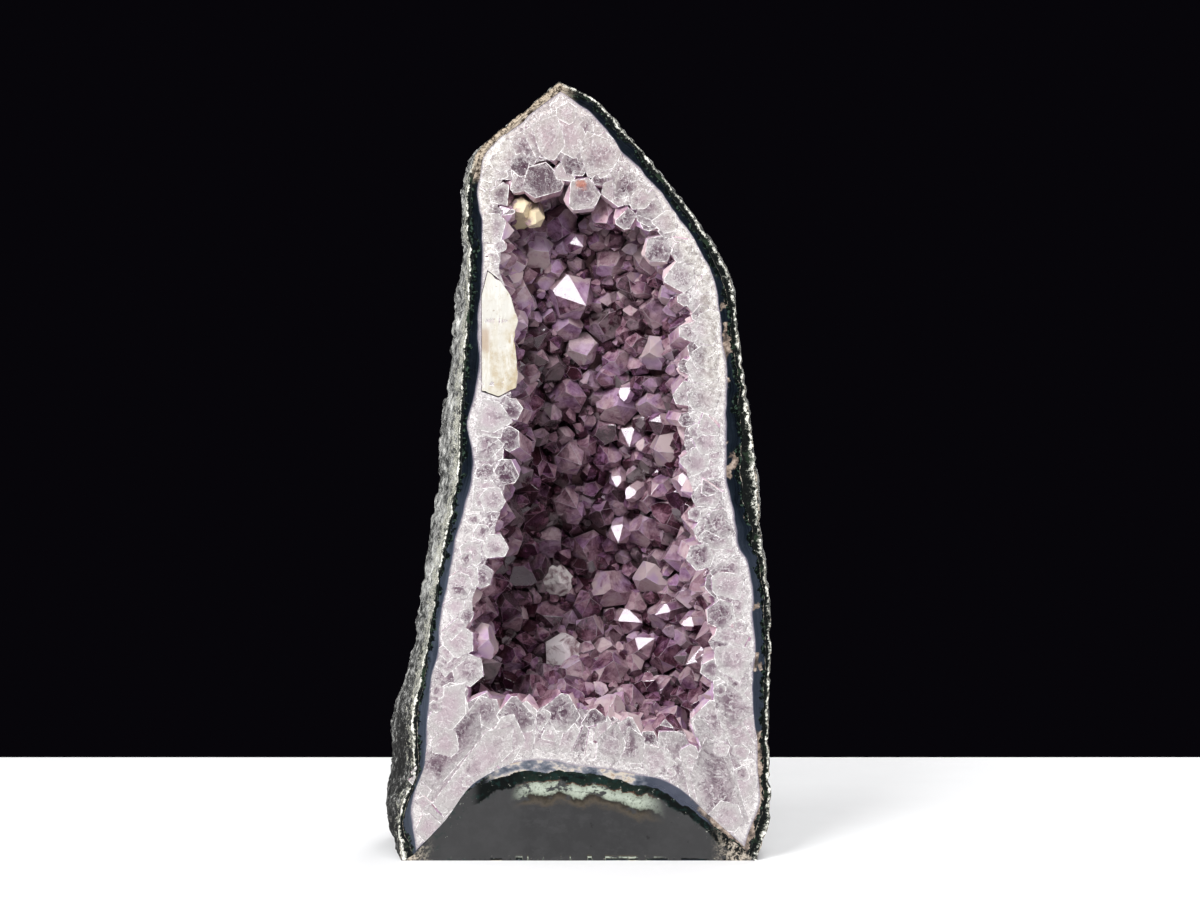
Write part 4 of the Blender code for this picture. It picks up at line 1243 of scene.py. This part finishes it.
# The x and z of the face where each crystal is seen, its radius and its look
NAMED_CRYSTALS = (
    (5.5, 292.0, 14.5, "bright"),
    (-17.5, 345.0, 10.5, "mauve"),
    (2.0, 338.0, 9.5, "pale"),
    (18.5, 340.0, 9.5, "pale"),
    (-38.5, 344.0, 8.5, "mauve"),
    (-27.0, 331.0, 8.5, "cream"),
    (40.5, 312.5, 10.0, "pale"),
    (-4.0, 273.5, 9.5, "mauve"),
    (-26.0, 270.5, 8.5, "mauve"),
    (19.0, 257.5, 9.5, "mauve"),
    (36.5, 262.0, 10.5, "pale"),
    (16.5, 234.5, 12.5, "mauve"),
    (35.0, 236.0, 10.5, "mauve"),
    (40.5, 213.0, 11.0, "pale"),
    (24.0, 218.5, 8.5, "bright"),
    (3.5, 210.0, 11.5, "bright"),
    (-22.5, 216.0, 8.5, "bright"),
    (7.5, 171.0, 9.0, "mauve"),
    (-5.5, 184.0, 10.5, "bright"),
    (31.5, 171.0, 10.5, "mauve"),
    (32.0, 186.0, 8.5, "mauve"),
    (-30.0, 165.5, 9.5, "mauve"),
    (-9.5, 144.5, 10.0, "milky"),
    (17.5, 142.5, 13.0, "mauve"),
    (35.0, 144.0, 10.5, "pale"),
    (-30.0, 125.5, 10.5, "mauve"),
    (-9.0, 112.0, 11.5, "milky"),
    (42.0, 106.5, 12.0, "purple"),
    (57.5, 103.5, 9.0, "bright"),
    (16.5, 103.5, 12.0, "mauve"),
    (27.0, 126.5, 9.0, "bright"),
    (-31.5, 80.0, 10.5, "pale"),
    (-10.0, 81.5, 10.5, "pale"),
    (41.0, 72.0, 11.0, "purple"),
    (68.5, 72.5, 12.0, "pale"),
    (69.5, 93.5, 9.0, "mauve"),
    (-44.0, 116.5, 9.5, "pale"),
)

# The x and z of the small flashes in the photo, each a crystal of its own, and its radius
GLINTS = (
    (2.0, 320.5, 6.0), (24.0, 247.5, 5.0), (-23.0, 248.5, 5.5), (18.0, 202.0, 5.0), (30.0, 194.5, 5.0),
    (-35.0, 330.0, 6.5), (7.0, 181.5, 7.0), (9.0, 173.0, 7.5), (-37.5, 158.5, 5.0), (30.0, 111.0, 8.0),
    (47.0, 130.0, 6.0), (58.5, 121.5, 4.5),
)
GLINT_SHAFT = 12.0


def between(array, at):
    """Rows of a closed array at fractional positions."""
    low = np.floor(at).astype(int)
    part = (at - low)[:, None]
    return array[low % len(array)] * (1 - part) + array[(low + 1) % len(array)] * part


def crystal_bed(along, turn):
    """The bed at places along the loop and at turns: its points, the way they face and its thickness."""
    agate_edge, quartz_edge, keel = coarse["agate"], coarse["quartz"], coarse["keel"]
    rooting = agate_edge + (quartz_edge - agate_edge) * ROOT_SHARE
    nudge = 1e-3
    keels, root = between(keel, along), between(rooting, along)
    depth = hollow_depth(keels[:, 1], BACK_AGATE + BACK_QUARTZ)
    here = bowl_point(root, keels, depth, turn)
    ahead = bowl_point(root, keels, depth, turn + nudge)
    beside = bowl_point(between(rooting, along + nudge), between(keel, along + nudge), depth, turn)
    normal = unit(np.cross(ahead - here, beside - here))
    centre = on_face(keels)
    normal *= np.sign(np.sum(normal * (centre - here), axis=1))[:, None]
    thickness = np.linalg.norm(between(agate_edge, along) - root, axis=1)
    thickness += (BACK_QUARTZ - thickness) * np.sin(turn)
    return here, normal, thickness


def roots_behind(places):
    """The places on the bed whose crystals show at the given x and z of the face, seen from the eye."""
    along, turn = np.meshgrid(np.arange(0, len(coarse["agate"]), 0.2),
                              np.linspace(FIRST_TURN, LAST_TURN, 60))
    here, normal, thickness = crystal_bed(along.ravel(), turn.ravel())
    ray = here + normal * NAMED_REACH - EYE
    seen = EYE + ray * ((FACE_Y - EYE[1]) / ray[:, 1:2])
    picks = [int(np.argmin(np.hypot(seen[:, 0] - x, seen[:, 2] - z))) for x, z, *_ in places]
    return here[picks], normal[picks], thickness[picks]


def skip_corner_draws(draw):
    """The spin of a crystal. It passes over the draws that shape it in the solid, to stay in step."""
    spin = draw.uniform(0, math.pi / 3)
    for _ in range(14):
        draw.random()
    return spin


def large_crystals():
    """Rows of spot, direction, spin, radius, shaft, sunk depth and look, for the solid's crystals."""
    draw = random.Random(CRYSTAL_SEED)
    rows = []
    for spot, way, thickness, (_, _, radius, look) in zip(*roots_behind(NAMED_CRYSTALS), NAMED_CRYSTALS):
        towards_eye = (Vector(EYE) - Vector(spot)).normalized()
        direction = Vector(way).lerp(towards_eye, NAMED_LEAN).normalized()
        spin = skip_corner_draws(draw)
        rows.append([spot, direction, spin, radius, radius * NAMED_SHAFT, thickness * ROOT_DEPTH, look])
    rng = np.random.default_rng(CRYSTAL_SEED)
    along = rng.uniform(0, len(coarse["agate"]), CRYSTAL_TRIES)
    turn = rng.uniform(FIRST_TURN, math.pi / 2, CRYSTAL_TRIES)
    for spot, way, thickness in zip(*crystal_bed(along, turn)):
        radius = draw.triangular(*CRYSTAL_RADIUS)
        if any(np.linalg.norm(spot - row[0]) < (radius + row[3]) * CRYSTAL_SPACING for row in rows):
            continue
        lean = Vector([draw.uniform(-1, 1) * CRYSTAL_LEAN for _ in range(3)])
        direction = (Vector(way) + lean).normalized()
        shaft = draw.uniform(*CRYSTAL_SHAFT)
        spin = skip_corner_draws(draw)
        rows.append([spot, direction, spin, radius, shaft, thickness * ROOT_DEPTH, ""])
    return rows


def glinting_crystals():
    """Small crystals on long shafts, so that they stand as high as the large ones round them."""
    return [[spot, Vector(way), 0.0, radius, GLINT_SHAFT, thickness * ROOT_DEPTH, "bright"]
            for spot, way, thickness, (_, _, radius) in zip(*roots_behind(GLINTS), GLINTS)]


def strewn_crystals(kept, seed, tries, radii, spacing, shafts, lean):
    """More crystals between the kept ones: a place is taken if it is far enough from every other middle."""
    rng = np.random.default_rng(seed)
    along = rng.uniform(0, len(coarse["agate"]), tries)
    turn = rng.uniform(FIRST_TURN, math.pi / 2, tries)
    spots, ways, thick = crystal_bed(along, turn)
    radius = radii[0] + (radii[1] - radii[0]) * rng.random(tries) ** 1.6
    leans = rng.uniform(-lean, lean, (tries, 3))
    shaft = rng.uniform(*shafts, tries)
    spins = rng.uniform(0, math.pi / 3, tries)
    taken = np.array([row[0] for row in kept])
    sizes = np.array([row[3] for row in kept])
    rows = []
    for i in range(tries):
        crowded = np.any(np.linalg.norm(taken - spots[i], axis=1) < (sizes + radius[i]) * spacing)
        if crowded or spots[i][1] < FACE_Y + CLEAR_OF_SAW:
            continue
        taken = np.vstack([taken, spots[i]])
        sizes = np.append(sizes, radius[i])
        direction = Vector(ways[i] + leans[i]).normalized()
        rows.append([spots[i], direction, spins[i], radius[i], shaft[i], thick[i] * ROOT_DEPTH, ""])
    return rows


def sawn_columns(seed, pitch):
    """Crystals in the plane of the face, side by side round the loop, so that the saw cuts them open.

    Each leans a little, and its tip reaches about the quartz's inner edge: shaft = reach - tip height.
    """
    rng = np.random.default_rng(seed)
    edge = coarse["agate"]
    length = loop_length(np.vstack([edge, edge[:1]]))
    at = np.arange(0, length[-1], pitch) + rng.uniform(-0.3, 0.3, int(np.ceil(length[-1] / pitch))) * pitch
    along = np.interp(np.clip(at, 0, length[-1] - 0.1), length, np.arange(len(length)))
    spots, _, thick = crystal_bed(along, np.full(len(along), FIRST_TURN))
    across = between(coarse["quartz"], along) - between(edge, along)
    width = np.linalg.norm(across, axis=1)
    ways = np.column_stack([across[:, 0], np.zeros(len(along)), across[:, 1]]) / width[:, None]
    rows = []
    for spot, way, width_here, thickness in zip(spots, ways, width, thick):
        beside_calcite = spot[0] < 0 and COLUMN_GAP[0] < spot[2] < COLUMN_GAP[1]
        reach = (1 - ROOT_SHARE) * width_here * rng.uniform(*COLUMN_REACH)
        radius = min(rng.uniform(*COLUMN_RADIUS), reach / LEAST_REACH)
        spot = spot + np.array((0, rng.uniform(*COLUMN_SHIFT) * radius, 0))
        direction = Vector(way + rng.uniform(-COLUMN_LEAN, COLUMN_LEAN, 3) * (1, 0.6, 1)).normalized()
        spin = rng.uniform(0, math.pi / 3)
        if not beside_calcite:
            shaft = reach - TIP_HEIGHT * radius
            rows.append([spot, direction, spin, radius, shaft, thickness * ROOT_DEPTH, "cut"])
    return rows


# Crystals that can be picked out where the saw met them: x and z, radius, lean to the right and up, what
# share of the tip stood out of the face (none below 0), and the look
MET_CRYSTALS = (
    (-19.0, 369.0, 10.5, 0.10, -0.15, 1.0, "cut"),
    (-6.0, 384.0, 6.5, 0.05, -0.15, 1.0, "cut"),
    (11.0, 367.0, 8.5, -0.10, -0.15, 1.0, "cut"),
    (-1.5, 358.0, 8.5, 0.00, -0.20, 1.0, "mauve"),
    (-37.0, 354.0, 5.5, 0.30, -0.20, 1.0, "purple"),
    (-18.5, 348.0, 12.0, 0.10, -0.35, 0.9, "mauve"),
    (-30.5, 347.5, 6.5, 0.20, -0.30, 0.9, "mauve"),
    (2.0, 341.0, 11.0, 0.00, -0.40, 0.9, "pale"),
    (-29.0, 357.0, 7.0, 0.15, -0.20, 1.0, "mauve"),
    (-7.0, 352.5, 6.5, 0.05, -0.30, 0.9, "pale"),
    (11.0, 349.5, 5.0, -0.05, -0.30, 0.9, "pale"),
    (18.5, 342.0, 8.5, -0.10, -0.35, 0.9, "pale"),
    (21.5, 354.0, 6.5, -0.15, -0.25, 1.0, "cut"),
    (-38.5, 341.5, 7.5, 0.30, -0.30, 0.8, "mauve"),
    (-28.0, 332.0, 7.5, 0.20, -0.40, -0.2, "cream"),
    (-22.0, 326.0, 6.0, 0.10, -0.50, -0.6, "cream"),
    (13.0, 326.0, 9.0, -0.10, -0.50, -0.5, "mauve"),
    (23.0, 329.0, 7.5, -0.20, -0.40, 0.7, "mauve"),
    (35.5, 331.5, 7.0, -0.30, -0.30, 1.0, "mauve"),
    (39.5, 313.0, 9.0, -0.30, -0.30, 0.8, "pale"),
    (51.0, 300.0, 10.0, -0.35, -0.25, 0.9, "pale"),
    (59.0, 206.0, 9.0, -0.40, 0.10, 0.9, "cut"),
    (72.5, 143.0, 9.5, -0.30, 0.15, 1.0, "cut"),
    (68.0, 71.0, 13.0, -0.25, 0.25, 1.0, "pale"),
    (44.5, 71.0, 9.0, -0.10, 0.50, 0.3, "purple"),
    (25.0, 69.0, 9.5, 0.00, 0.45, 0.7, "pale"),
    (8.0, 74.0, 9.0, 0.00, 0.50, 0.6, "mauve"),
    (-10.5, 79.0, 12.5, 0.05, 0.35, 0.85, "mauve"),
    (-31.0, 77.0, 12.5, 0.10, 0.35, 0.85, "mauve"),
    (-43.0, 115.0, 10.0, 0.50, 0.25, -0.2, "pale"),
    (-61.0, 142.0, 8.5, 0.30, 0.10, 1.0, "cut"),
)
MET_REACH, MET_ROOT = 15.0, 12.0


def met_crystal(place, radius, lean, reach, took, spin, look):
    """A crystal that comes forward to the face at a place, from a spot that far back along its axis."""
    direction = Vector((lean[0], -1.0, lean[1])).normalized()
    spot = np.array((place[0], FACE_Y, place[1])) - np.array(direction) * reach
    return [spot, direction, spin, radius, reach + TIP_HEIGHT * radius * (took - 1), MET_ROOT, look]


def met_crystals(seed, count):
    """The crystals that point out of the face: those picked out, then strewn ones.

    The strewn ones lie at a share of the quartz's width, clear of one another, and never over the calcite.
    """
    rng = np.random.default_rng(seed)
    rows, taken = [], []
    for x, z, radius, right, up, took, look in MET_CRYSTALS:
        taken.append((x, z, radius))
        spin = rng.uniform(0, math.pi / 3)
        rows.append(met_crystal((x, z), radius, (right, up), MET_REACH, took, spin, look))
    along = rng.uniform(0, len(coarse["agate"]), count)
    edge, across = between(coarse["agate"], along), between(coarse["quartz"] - coarse["agate"], along)
    width = np.linalg.norm(across, axis=1)
    for start, way, width_here in zip(edge, across, width):
        radius = min(rng.uniform(*MET_RADIUS), MET_LARGEST * width_here)
        place = start + way * rng.uniform((radius + 1.0) / width_here, 1.04)
        spin = rng.uniform(0, math.pi / 3)
        lean = rng.uniform(-MET_LEAN, MET_LEAN, 2)
        reach = rng.uniform(*MET_STREWN_REACH)
        beside_calcite = place[0] < -25 and MET_GAP[0] < place[1] < MET_GAP[1]
        crowded = any(math.dist(place, other[:2]) < MET_SPACING * (radius + other[2]) for other in taken)
        if beside_calcite or crowded:
            continue
        taken.append((*place, radius))
        rows.append(met_crystal(place, radius, lean, reach, 1.0, spin, "cut"))
    return rows


large = large_crystals()
columns = sawn_columns(21, COLUMN_PITCH)
met = met_crystals(22, MET_TRIES)
glints = glinting_crystals()
middling = strewn_crystals(large, *MIDDLE_SIZED)
small = strewn_crystals(large + middling, *SMALL)
print(len(large), "large,", len(columns), "sawn lengthwise,", len(met), "met by the saw,", len(middling),
      "middle-sized and", len(small), "small crystals")

# %% [markdown]
# Some crystals flash in the photo: one of their faces sends the lamp straight back to the eye. Such a
# crystal is turned so that one of its tip faces looks half way between the lamp and the eye. All crystals
# are put in place, given a tone each and cut flush where they stand through the sawn face. LOOKS says how
# pale and how milky each look is.

# %% Put the crystals in place
LOOKS = {"pale": (0.90, 0.15), "mauve": (0.55, 0.05), "purple": (0.34, 0.0), "milky": (0.95, 1.0),
         "cream": (1.0, 1.0), "bright": (0.62, 0.1), "cut": (0.80, 0.1)}
MAX_TILT = math.radians(38)
OUTLINE_WIDTH = 0.28
EDGE_BEVEL = 0.13
OWN_SHAPE_RADIUS, SHARED_SHAPES = 5.5, 36
SAW_SCATTER = 0.22


def flashing_axis(spot, direction):
    """The axis, tilted so that a tip face looks half way between lamp and eye, and that half-way line."""
    to_eye = (Vector(EYE) - Vector(spot)).normalized()
    to_key = (Vector(KEY_PLACE) - Vector(spot)).normalized()
    half = (to_eye + to_key).normalized()
    angle = direction.angle(half)
    turn = max(-MAX_TILT, min(MAX_TILT, angle - TIP_SLOPE))
    axis = direction.cross(half).normalized()
    moved = direction.copy()
    moved.rotate(Matrix.Rotation(turn, 3, axis))
    return moved.normalized(), half


def crystal_frame(direction, spin, half=None):
    """Three directions of a crystal: its first side, its second side and its axis."""
    if half is not None:
        side = (half - direction * half.dot(direction)).normalized()
    else:
        side = direction.orthogonal().normalized()
    other = direction.cross(side)
    first = side * math.cos(spin) + other * math.sin(spin)
    return np.array([first, direction.cross(first), direction])


def placed(row, shape):
    """A shape of radius 1 scaled, stood on its root and turned to its direction."""
    spot, direction, spin, radius, shaft, sunk, look = row
    points = shape[0]
    half = None
    if look == "bright":
        direction, half = flashing_axis(spot, direction)
        spin = 0.0
    axes = crystal_frame(direction, spin, half)
    height = np.where(points[:, 2] > -0.99, points[:, 2] * radius + shaft, -sunk)
    local = np.column_stack([points[:, :2] * radius, height])
    return np.array(spot) + local @ axes


def share_between(value, none, full):
    """0 where the value is none, 1 where it is full, and straight between."""
    return min(max((value - none) / (full - none), 0.0), 1.0)


def crystal_tone(row, rng):
    """How pale and how milky a crystal is. It is made paler near the face, near the top and low in the
    hollow, as painted light, and darker deeper behind the face and in the left middle, as painted shade.
    """
    spot, look = row[0], row[6]
    if look in LOOKS:
        return LOOKS[look]
    # Painted shade and light: crystals deeper behind the face are darker, those near the top paler.
    behind = (spot[1] - FACE_Y) / 60.0
    pale = 0.76 - 0.32 * min(behind, 1.0) + 0.34 * share_between(spot[2], 300.0, 350.0)
    pale += rng.normal(0, 0.13) - 0.45 * max(0.0, 1 - row[3] / 7.0)
    # Painted light: paler low in the hollow and close to the sawn face.
    pale += 0.10 * share_between(spot[2], 170.0, 140.0)
    pale += 0.40 * math.exp(-max(spot[1] - FACE_Y - 6.0, 0.0) / 9.0)
    pale += 0.28 * lattice_noise(np.array([spot]), 42.0, 81)[0]
    # Painted shade: darker in the left middle of the hollow.
    pale -= 0.22 * math.exp(-((spot[0] + 30) / 22) ** 2) * share_between(spot[2], 290.0, 260.0)
    milk = 0.3 * rng.random() ** 3
    return min(max(pale, 0.0), 1.0), milk


def gather_crystals():
    """Points, faces and material numbers of all crystals, and five numbers kept for each point."""
    draw = random.Random(5)
    rng = np.random.default_rng(6)
    library = [crystal_shape(draw, 0.0) for _ in range(SHARED_SHAPES)]
    points, faces, numbers, marks, start = [], [], [], [], 0
    for row in large + columns + met + glints + middling + small:
        size = row[3]
        if size > OWN_SHAPE_RADIUS:
            shape = crystal_shape(draw, EDGE_BEVEL / size, row[6] == "bright")
        else:
            shape = library[draw.randrange(len(library))]
        corners, sides = placed(row, shape), shape[1]
        milky = row[6] in ("milky", "cream")
        numbers += [MILKY_FACE if milky else number for number in shape[2]]
        pale, milk = crystal_tone(row, rng)
        offset = draw.uniform(0.0, SAW_SCATTER)
        rise = np.clip((shape[0][:, 2] + 0.6) / 1.6, 0, 1)
        points.append(corners)
        marks.append(np.column_stack([np.full(len(corners), pale), np.full(len(corners), milk), rise,
                                      np.full(len(corners), offset),
                                      np.full(len(corners), pale * draw.random())]))
        faces += [tuple(start + i for i in side) for side in sides]
        start += len(corners)
    return np.vstack(points), faces, numbers, np.vstack(marks)


def saw_flush(body, offset_layer):
    """Cuts every crystal at the sawn face, each up to SAW_SCATTER behind it, and closes the cuts.

    Each cut gets a narrow outline and a point in its middle whose heart is 1, while it is 0 elsewhere.
    """
    for vert in body.verts:
        vert.co.y -= vert[offset_layer] * MM
    geometry = body.verts[:] + body.edges[:] + body.faces[:]
    bmesh.ops.bisect_plane(body, geom=geometry, plane_co=(0, FACE_Y * MM, 0), plane_no=(0, -1, 0),
                           clear_outer=True, dist=1e-7)
    rims = [edge for edge in body.edges if edge.is_boundary]
    filled = bmesh.ops.holes_fill(body, edges=rims, sides=0)
    for face in filled["faces"]:
        face.material_index = SAWN_FACE
    outlines = bmesh.ops.inset_individual(body, faces=filled["faces"], thickness=OUTLINE_WIDTH * MM)
    for face in outlines["faces"]:
        face.material_index = SAWN_OUTLINE
    sawn = [face for face in body.faces if face.material_index == SAWN_FACE]
    for centre in bmesh.ops.poke(body, faces=sawn)["verts"]:
        rim = centre.link_edges[0].other_vert(centre)
        for layer in body.verts.layers.float.values():
            centre[layer] = rim[layer]
        centre[body.verts.layers.float["heart"]] = 1.0
    for vert in body.verts:
        vert.co.y += vert[offset_layer] * MM
    bmesh.ops.recalc_face_normals(body, faces=body.faces)
    print(len(filled["faces"]), "crystals sawn through,", sum(e.is_boundary for e in body.edges),
          "open edges")


def crystal_points(materials):
    """The mesh of all crystals."""
    points, faces, numbers, marks = gather_crystals()
    mesh = new_mesh("amethyst_points", points, faces, materials, numbers)
    for name, values in zip(("pale", "milk", "rise", "offset", "chance"), marks.T):
        mesh.attributes.new(name, "FLOAT", "POINT").data.foreach_set("value", values)
    mesh.attributes.new("heart", "FLOAT", "POINT")
    body = bmesh.new()
    body.from_mesh(mesh)
    saw_flush(body, body.verts.layers.float["offset"])
    body.to_mesh(mesh)
    body.free()
    mesh.attributes.remove(mesh.attributes["offset"])
    corners = np.empty(len(mesh.vertices) * 3)
    mesh.vertices.foreach_get("co", corners)
    keep_grain(mesh, wall_grain(corners.reshape(-1, 3) / MM))
    print("amethyst_points has", sum(len(p.vertices) - 2 for p in mesh.polygons), "triangles")
    return new_object("amethyst_points", mesh)


# %% [markdown]
# Amethyst is clear purple quartz: light goes in, is bent by an index of 1.544 and comes out weaker and
# more purple. Here the points are also cloudy, so part of the light is scattered at once. Plain
# transmission, a plain absorbing volume and a base colour give that together. Towards the roots the base
# colour turns darker and browner, as painted shade in the gaps between the points.

# %% Finish of the amethyst


def amethyst():
    """Clear purple crystal with what is seen through its faces: patches, veils and darker zones. Towards
    the roots it is darker and browner, as painted shade.

    The patterns are moved a little along the normal of each face, because faces that look into a crystal
    from different sides show different parts of its inside.
    """
    r = Recipe("amethyst")
    pale, milk, rise, chance = map(r.attribute, ("pale", "milk", "rise", "chance"))
    facing = r.add("NewGeometry").outputs["True Normal"]
    inner = r.vector("ADD", r.place, r.scaled(facing, 0.011))
    facet = r.noise(1.0, 0.0, at=r.stretch(facing, (2.1, 2.1, 2.1)))
    patch = r.add("TexVoronoi", {"Vector": inner, "Scale": 210.0}, feature="F1")
    patch_tone = r.parts(patch.outputs["Color"])[0]
    cloud = r.noise(130.0, 5.0, 0.60, 0.5, at=inner)
    veil = r.noise(420.0, 4.0, 0.65, 0.8, at=inner)
    tone = pale + (cloud - 0.5) * 1.2
    tone += facet * 1.4 - 0.70
    tone += (patch_tone - 0.5) * 0.30
    tone += (veil - 0.5) * 0.70
    # Painted shade: the tone falls towards the roots of each point.
    tone += r.step(rise, 0.05, 0.55, -0.16, 0.0)
    purple = r.ramp(tone, (
        (0.00, (0.052, 0.017, 0.030)), (0.20, (0.150, 0.064, 0.108)), (0.42, (0.330, 0.190, 0.275)),
        (0.62, (0.520, 0.355, 0.455)), (0.80, (0.660, 0.505, 0.600)), (1.00, (0.770, 0.640, 0.715))))
    # Painted shade: the roots turn brown, the more so on darker crystals.
    brown = r.mix(r.step(chance, 0.3, 0.9), (0.045, 0.014, 0.016), (0.16, 0.095, 0.075))
    root_shade_share = r.step(rise, 0.50, 0.05, 0.0, 0.55) * r.step(pale, 0.9, 0.3)
    colour = r.mix(root_shade_share, purple, brown)
    hue = r.step(r.noise(48.0, 3.0, 0.6, at=inner), 0.45, 0.62)
    hue = r.mix(hue, (1.05, 0.97, 0.90), (0.89, 0.72, 0.98))
    colour = r.mix(1.0, colour, hue, "MULTIPLY")
    white = r.mix(r.step(chance, 0.2, 0.8), (0.80, 0.73, 0.74), (0.72, 0.63, 0.69))
    colour = r.mix(milk * r.step(cloud, 0.36, 0.52), colour, white)
    volume = r.add("VolumeAbsorption", {"Color": (0.66, 0.42, 0.58), "Density": 80.0})
    r.plug(volume.outputs["Volume"], r.output.inputs["Volume"])
    return r.finish({
        "Base Color": red_stain(r, colour),
        "Roughness": r.step(r.noise(260.0, 3.0), 0.35, 0.7, 0.03, 0.12),
        "IOR": QUARTZ_IOR,
        "Transmission Weight": 0.42,
        "Specular IOR Level": 0.30,
        "Specular Tint": (0.96, 0.91, 0.98),
        "Normal": r.bump(r.noise(180.0, 3.0, 0.5), 0.10, 0.0008),
    })


def milky_point():
    """White cloudy crystal, clearer and lilac in patches; the palest ones are cream."""
    r = Recipe("milky_point")
    chance = r.attribute("chance")
    pale = r.attribute("pale")
    cloud = r.noise(120.0, 5.0, 0.62, 0.6)
    white = r.mix(r.step(chance, 0.2, 0.8), (0.84, 0.79, 0.78), (0.78, 0.71, 0.76))
    white = r.mix(r.step(pale, 0.96, 0.99), white, (0.62, 0.52, 0.36))
    return r.finish({
        "Base Color": r.mix(r.step(cloud, 0.52, 0.36), white, (0.30, 0.20, 0.22)),
        "Roughness": 0.22,
        "Specular IOR Level": 0.25,
    })


def outline_quartz():
    """The bright line round each sawn crystal, where light is caught between it and its neighbour."""
    r = Recipe("sawn_outline")
    broken = r.noise(420.0, 4.0, 0.6)
    return r.finish({
        "Base Color": r.mix(r.step(broken, 0.40, 0.58), (0.24, 0.19, 0.22), (0.90, 0.88, 0.87)),
        "Roughness": 0.3,
        "Transmission Weight": 0.1,
    })


def painted_edge_highlight():
    """The narrow bevelled edges between crystal faces, coloured a little paler than the faces as a painted
    highlight.
    """
    r = Recipe("painted_edge_highlight")
    pale = r.attribute("pale")
    return r.finish({
        # Painted highlight: the edge is coloured paler than the faces beside it.
        "Base Color": r.mix(pale, (0.22, 0.130, 0.185), (0.78, 0.70, 0.75)),
        "Roughness": 0.12,
        "IOR": QUARTZ_IOR,
        "Transmission Weight": 0.4,
    })


finishes = [amethyst(),
            sawn_quartz("sawn_points", clear=0.30, sugary=0.45, shade=0.0, lines=0.75, zoned=0.22),
            outline_quartz(), painted_edge_highlight(), milky_point()]
points_piece = crystal_points(finishes)
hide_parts("crystal_crust")
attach(points_piece, "root")

# %% [markdown]
# ## Floor
# A plain pale platform with a slight texture. It is no part of the geode.

# %% Floor


def platform():
    """Matt white with a slight texture."""
    r = Recipe("platform")
    return r.finish({
        "Base Color": r.mix(r.noise(30.0), (0.78, 0.78, 0.79), (0.82, 0.82, 0.83)),
        "Roughness": 0.6,
    })


def add_floor():
    """A flat rectangle under the geode."""
    left, right, front, back = FLOOR_EDGE
    corners = np.array([(left, front, 0), (right, front, 0), (right, back, 0), (left, back, 0)], float)
    mesh = new_mesh("floor", corners, [(0, 1, 2, 3)], [platform()])
    floor = new_object("floor", mesh)


add_floor()
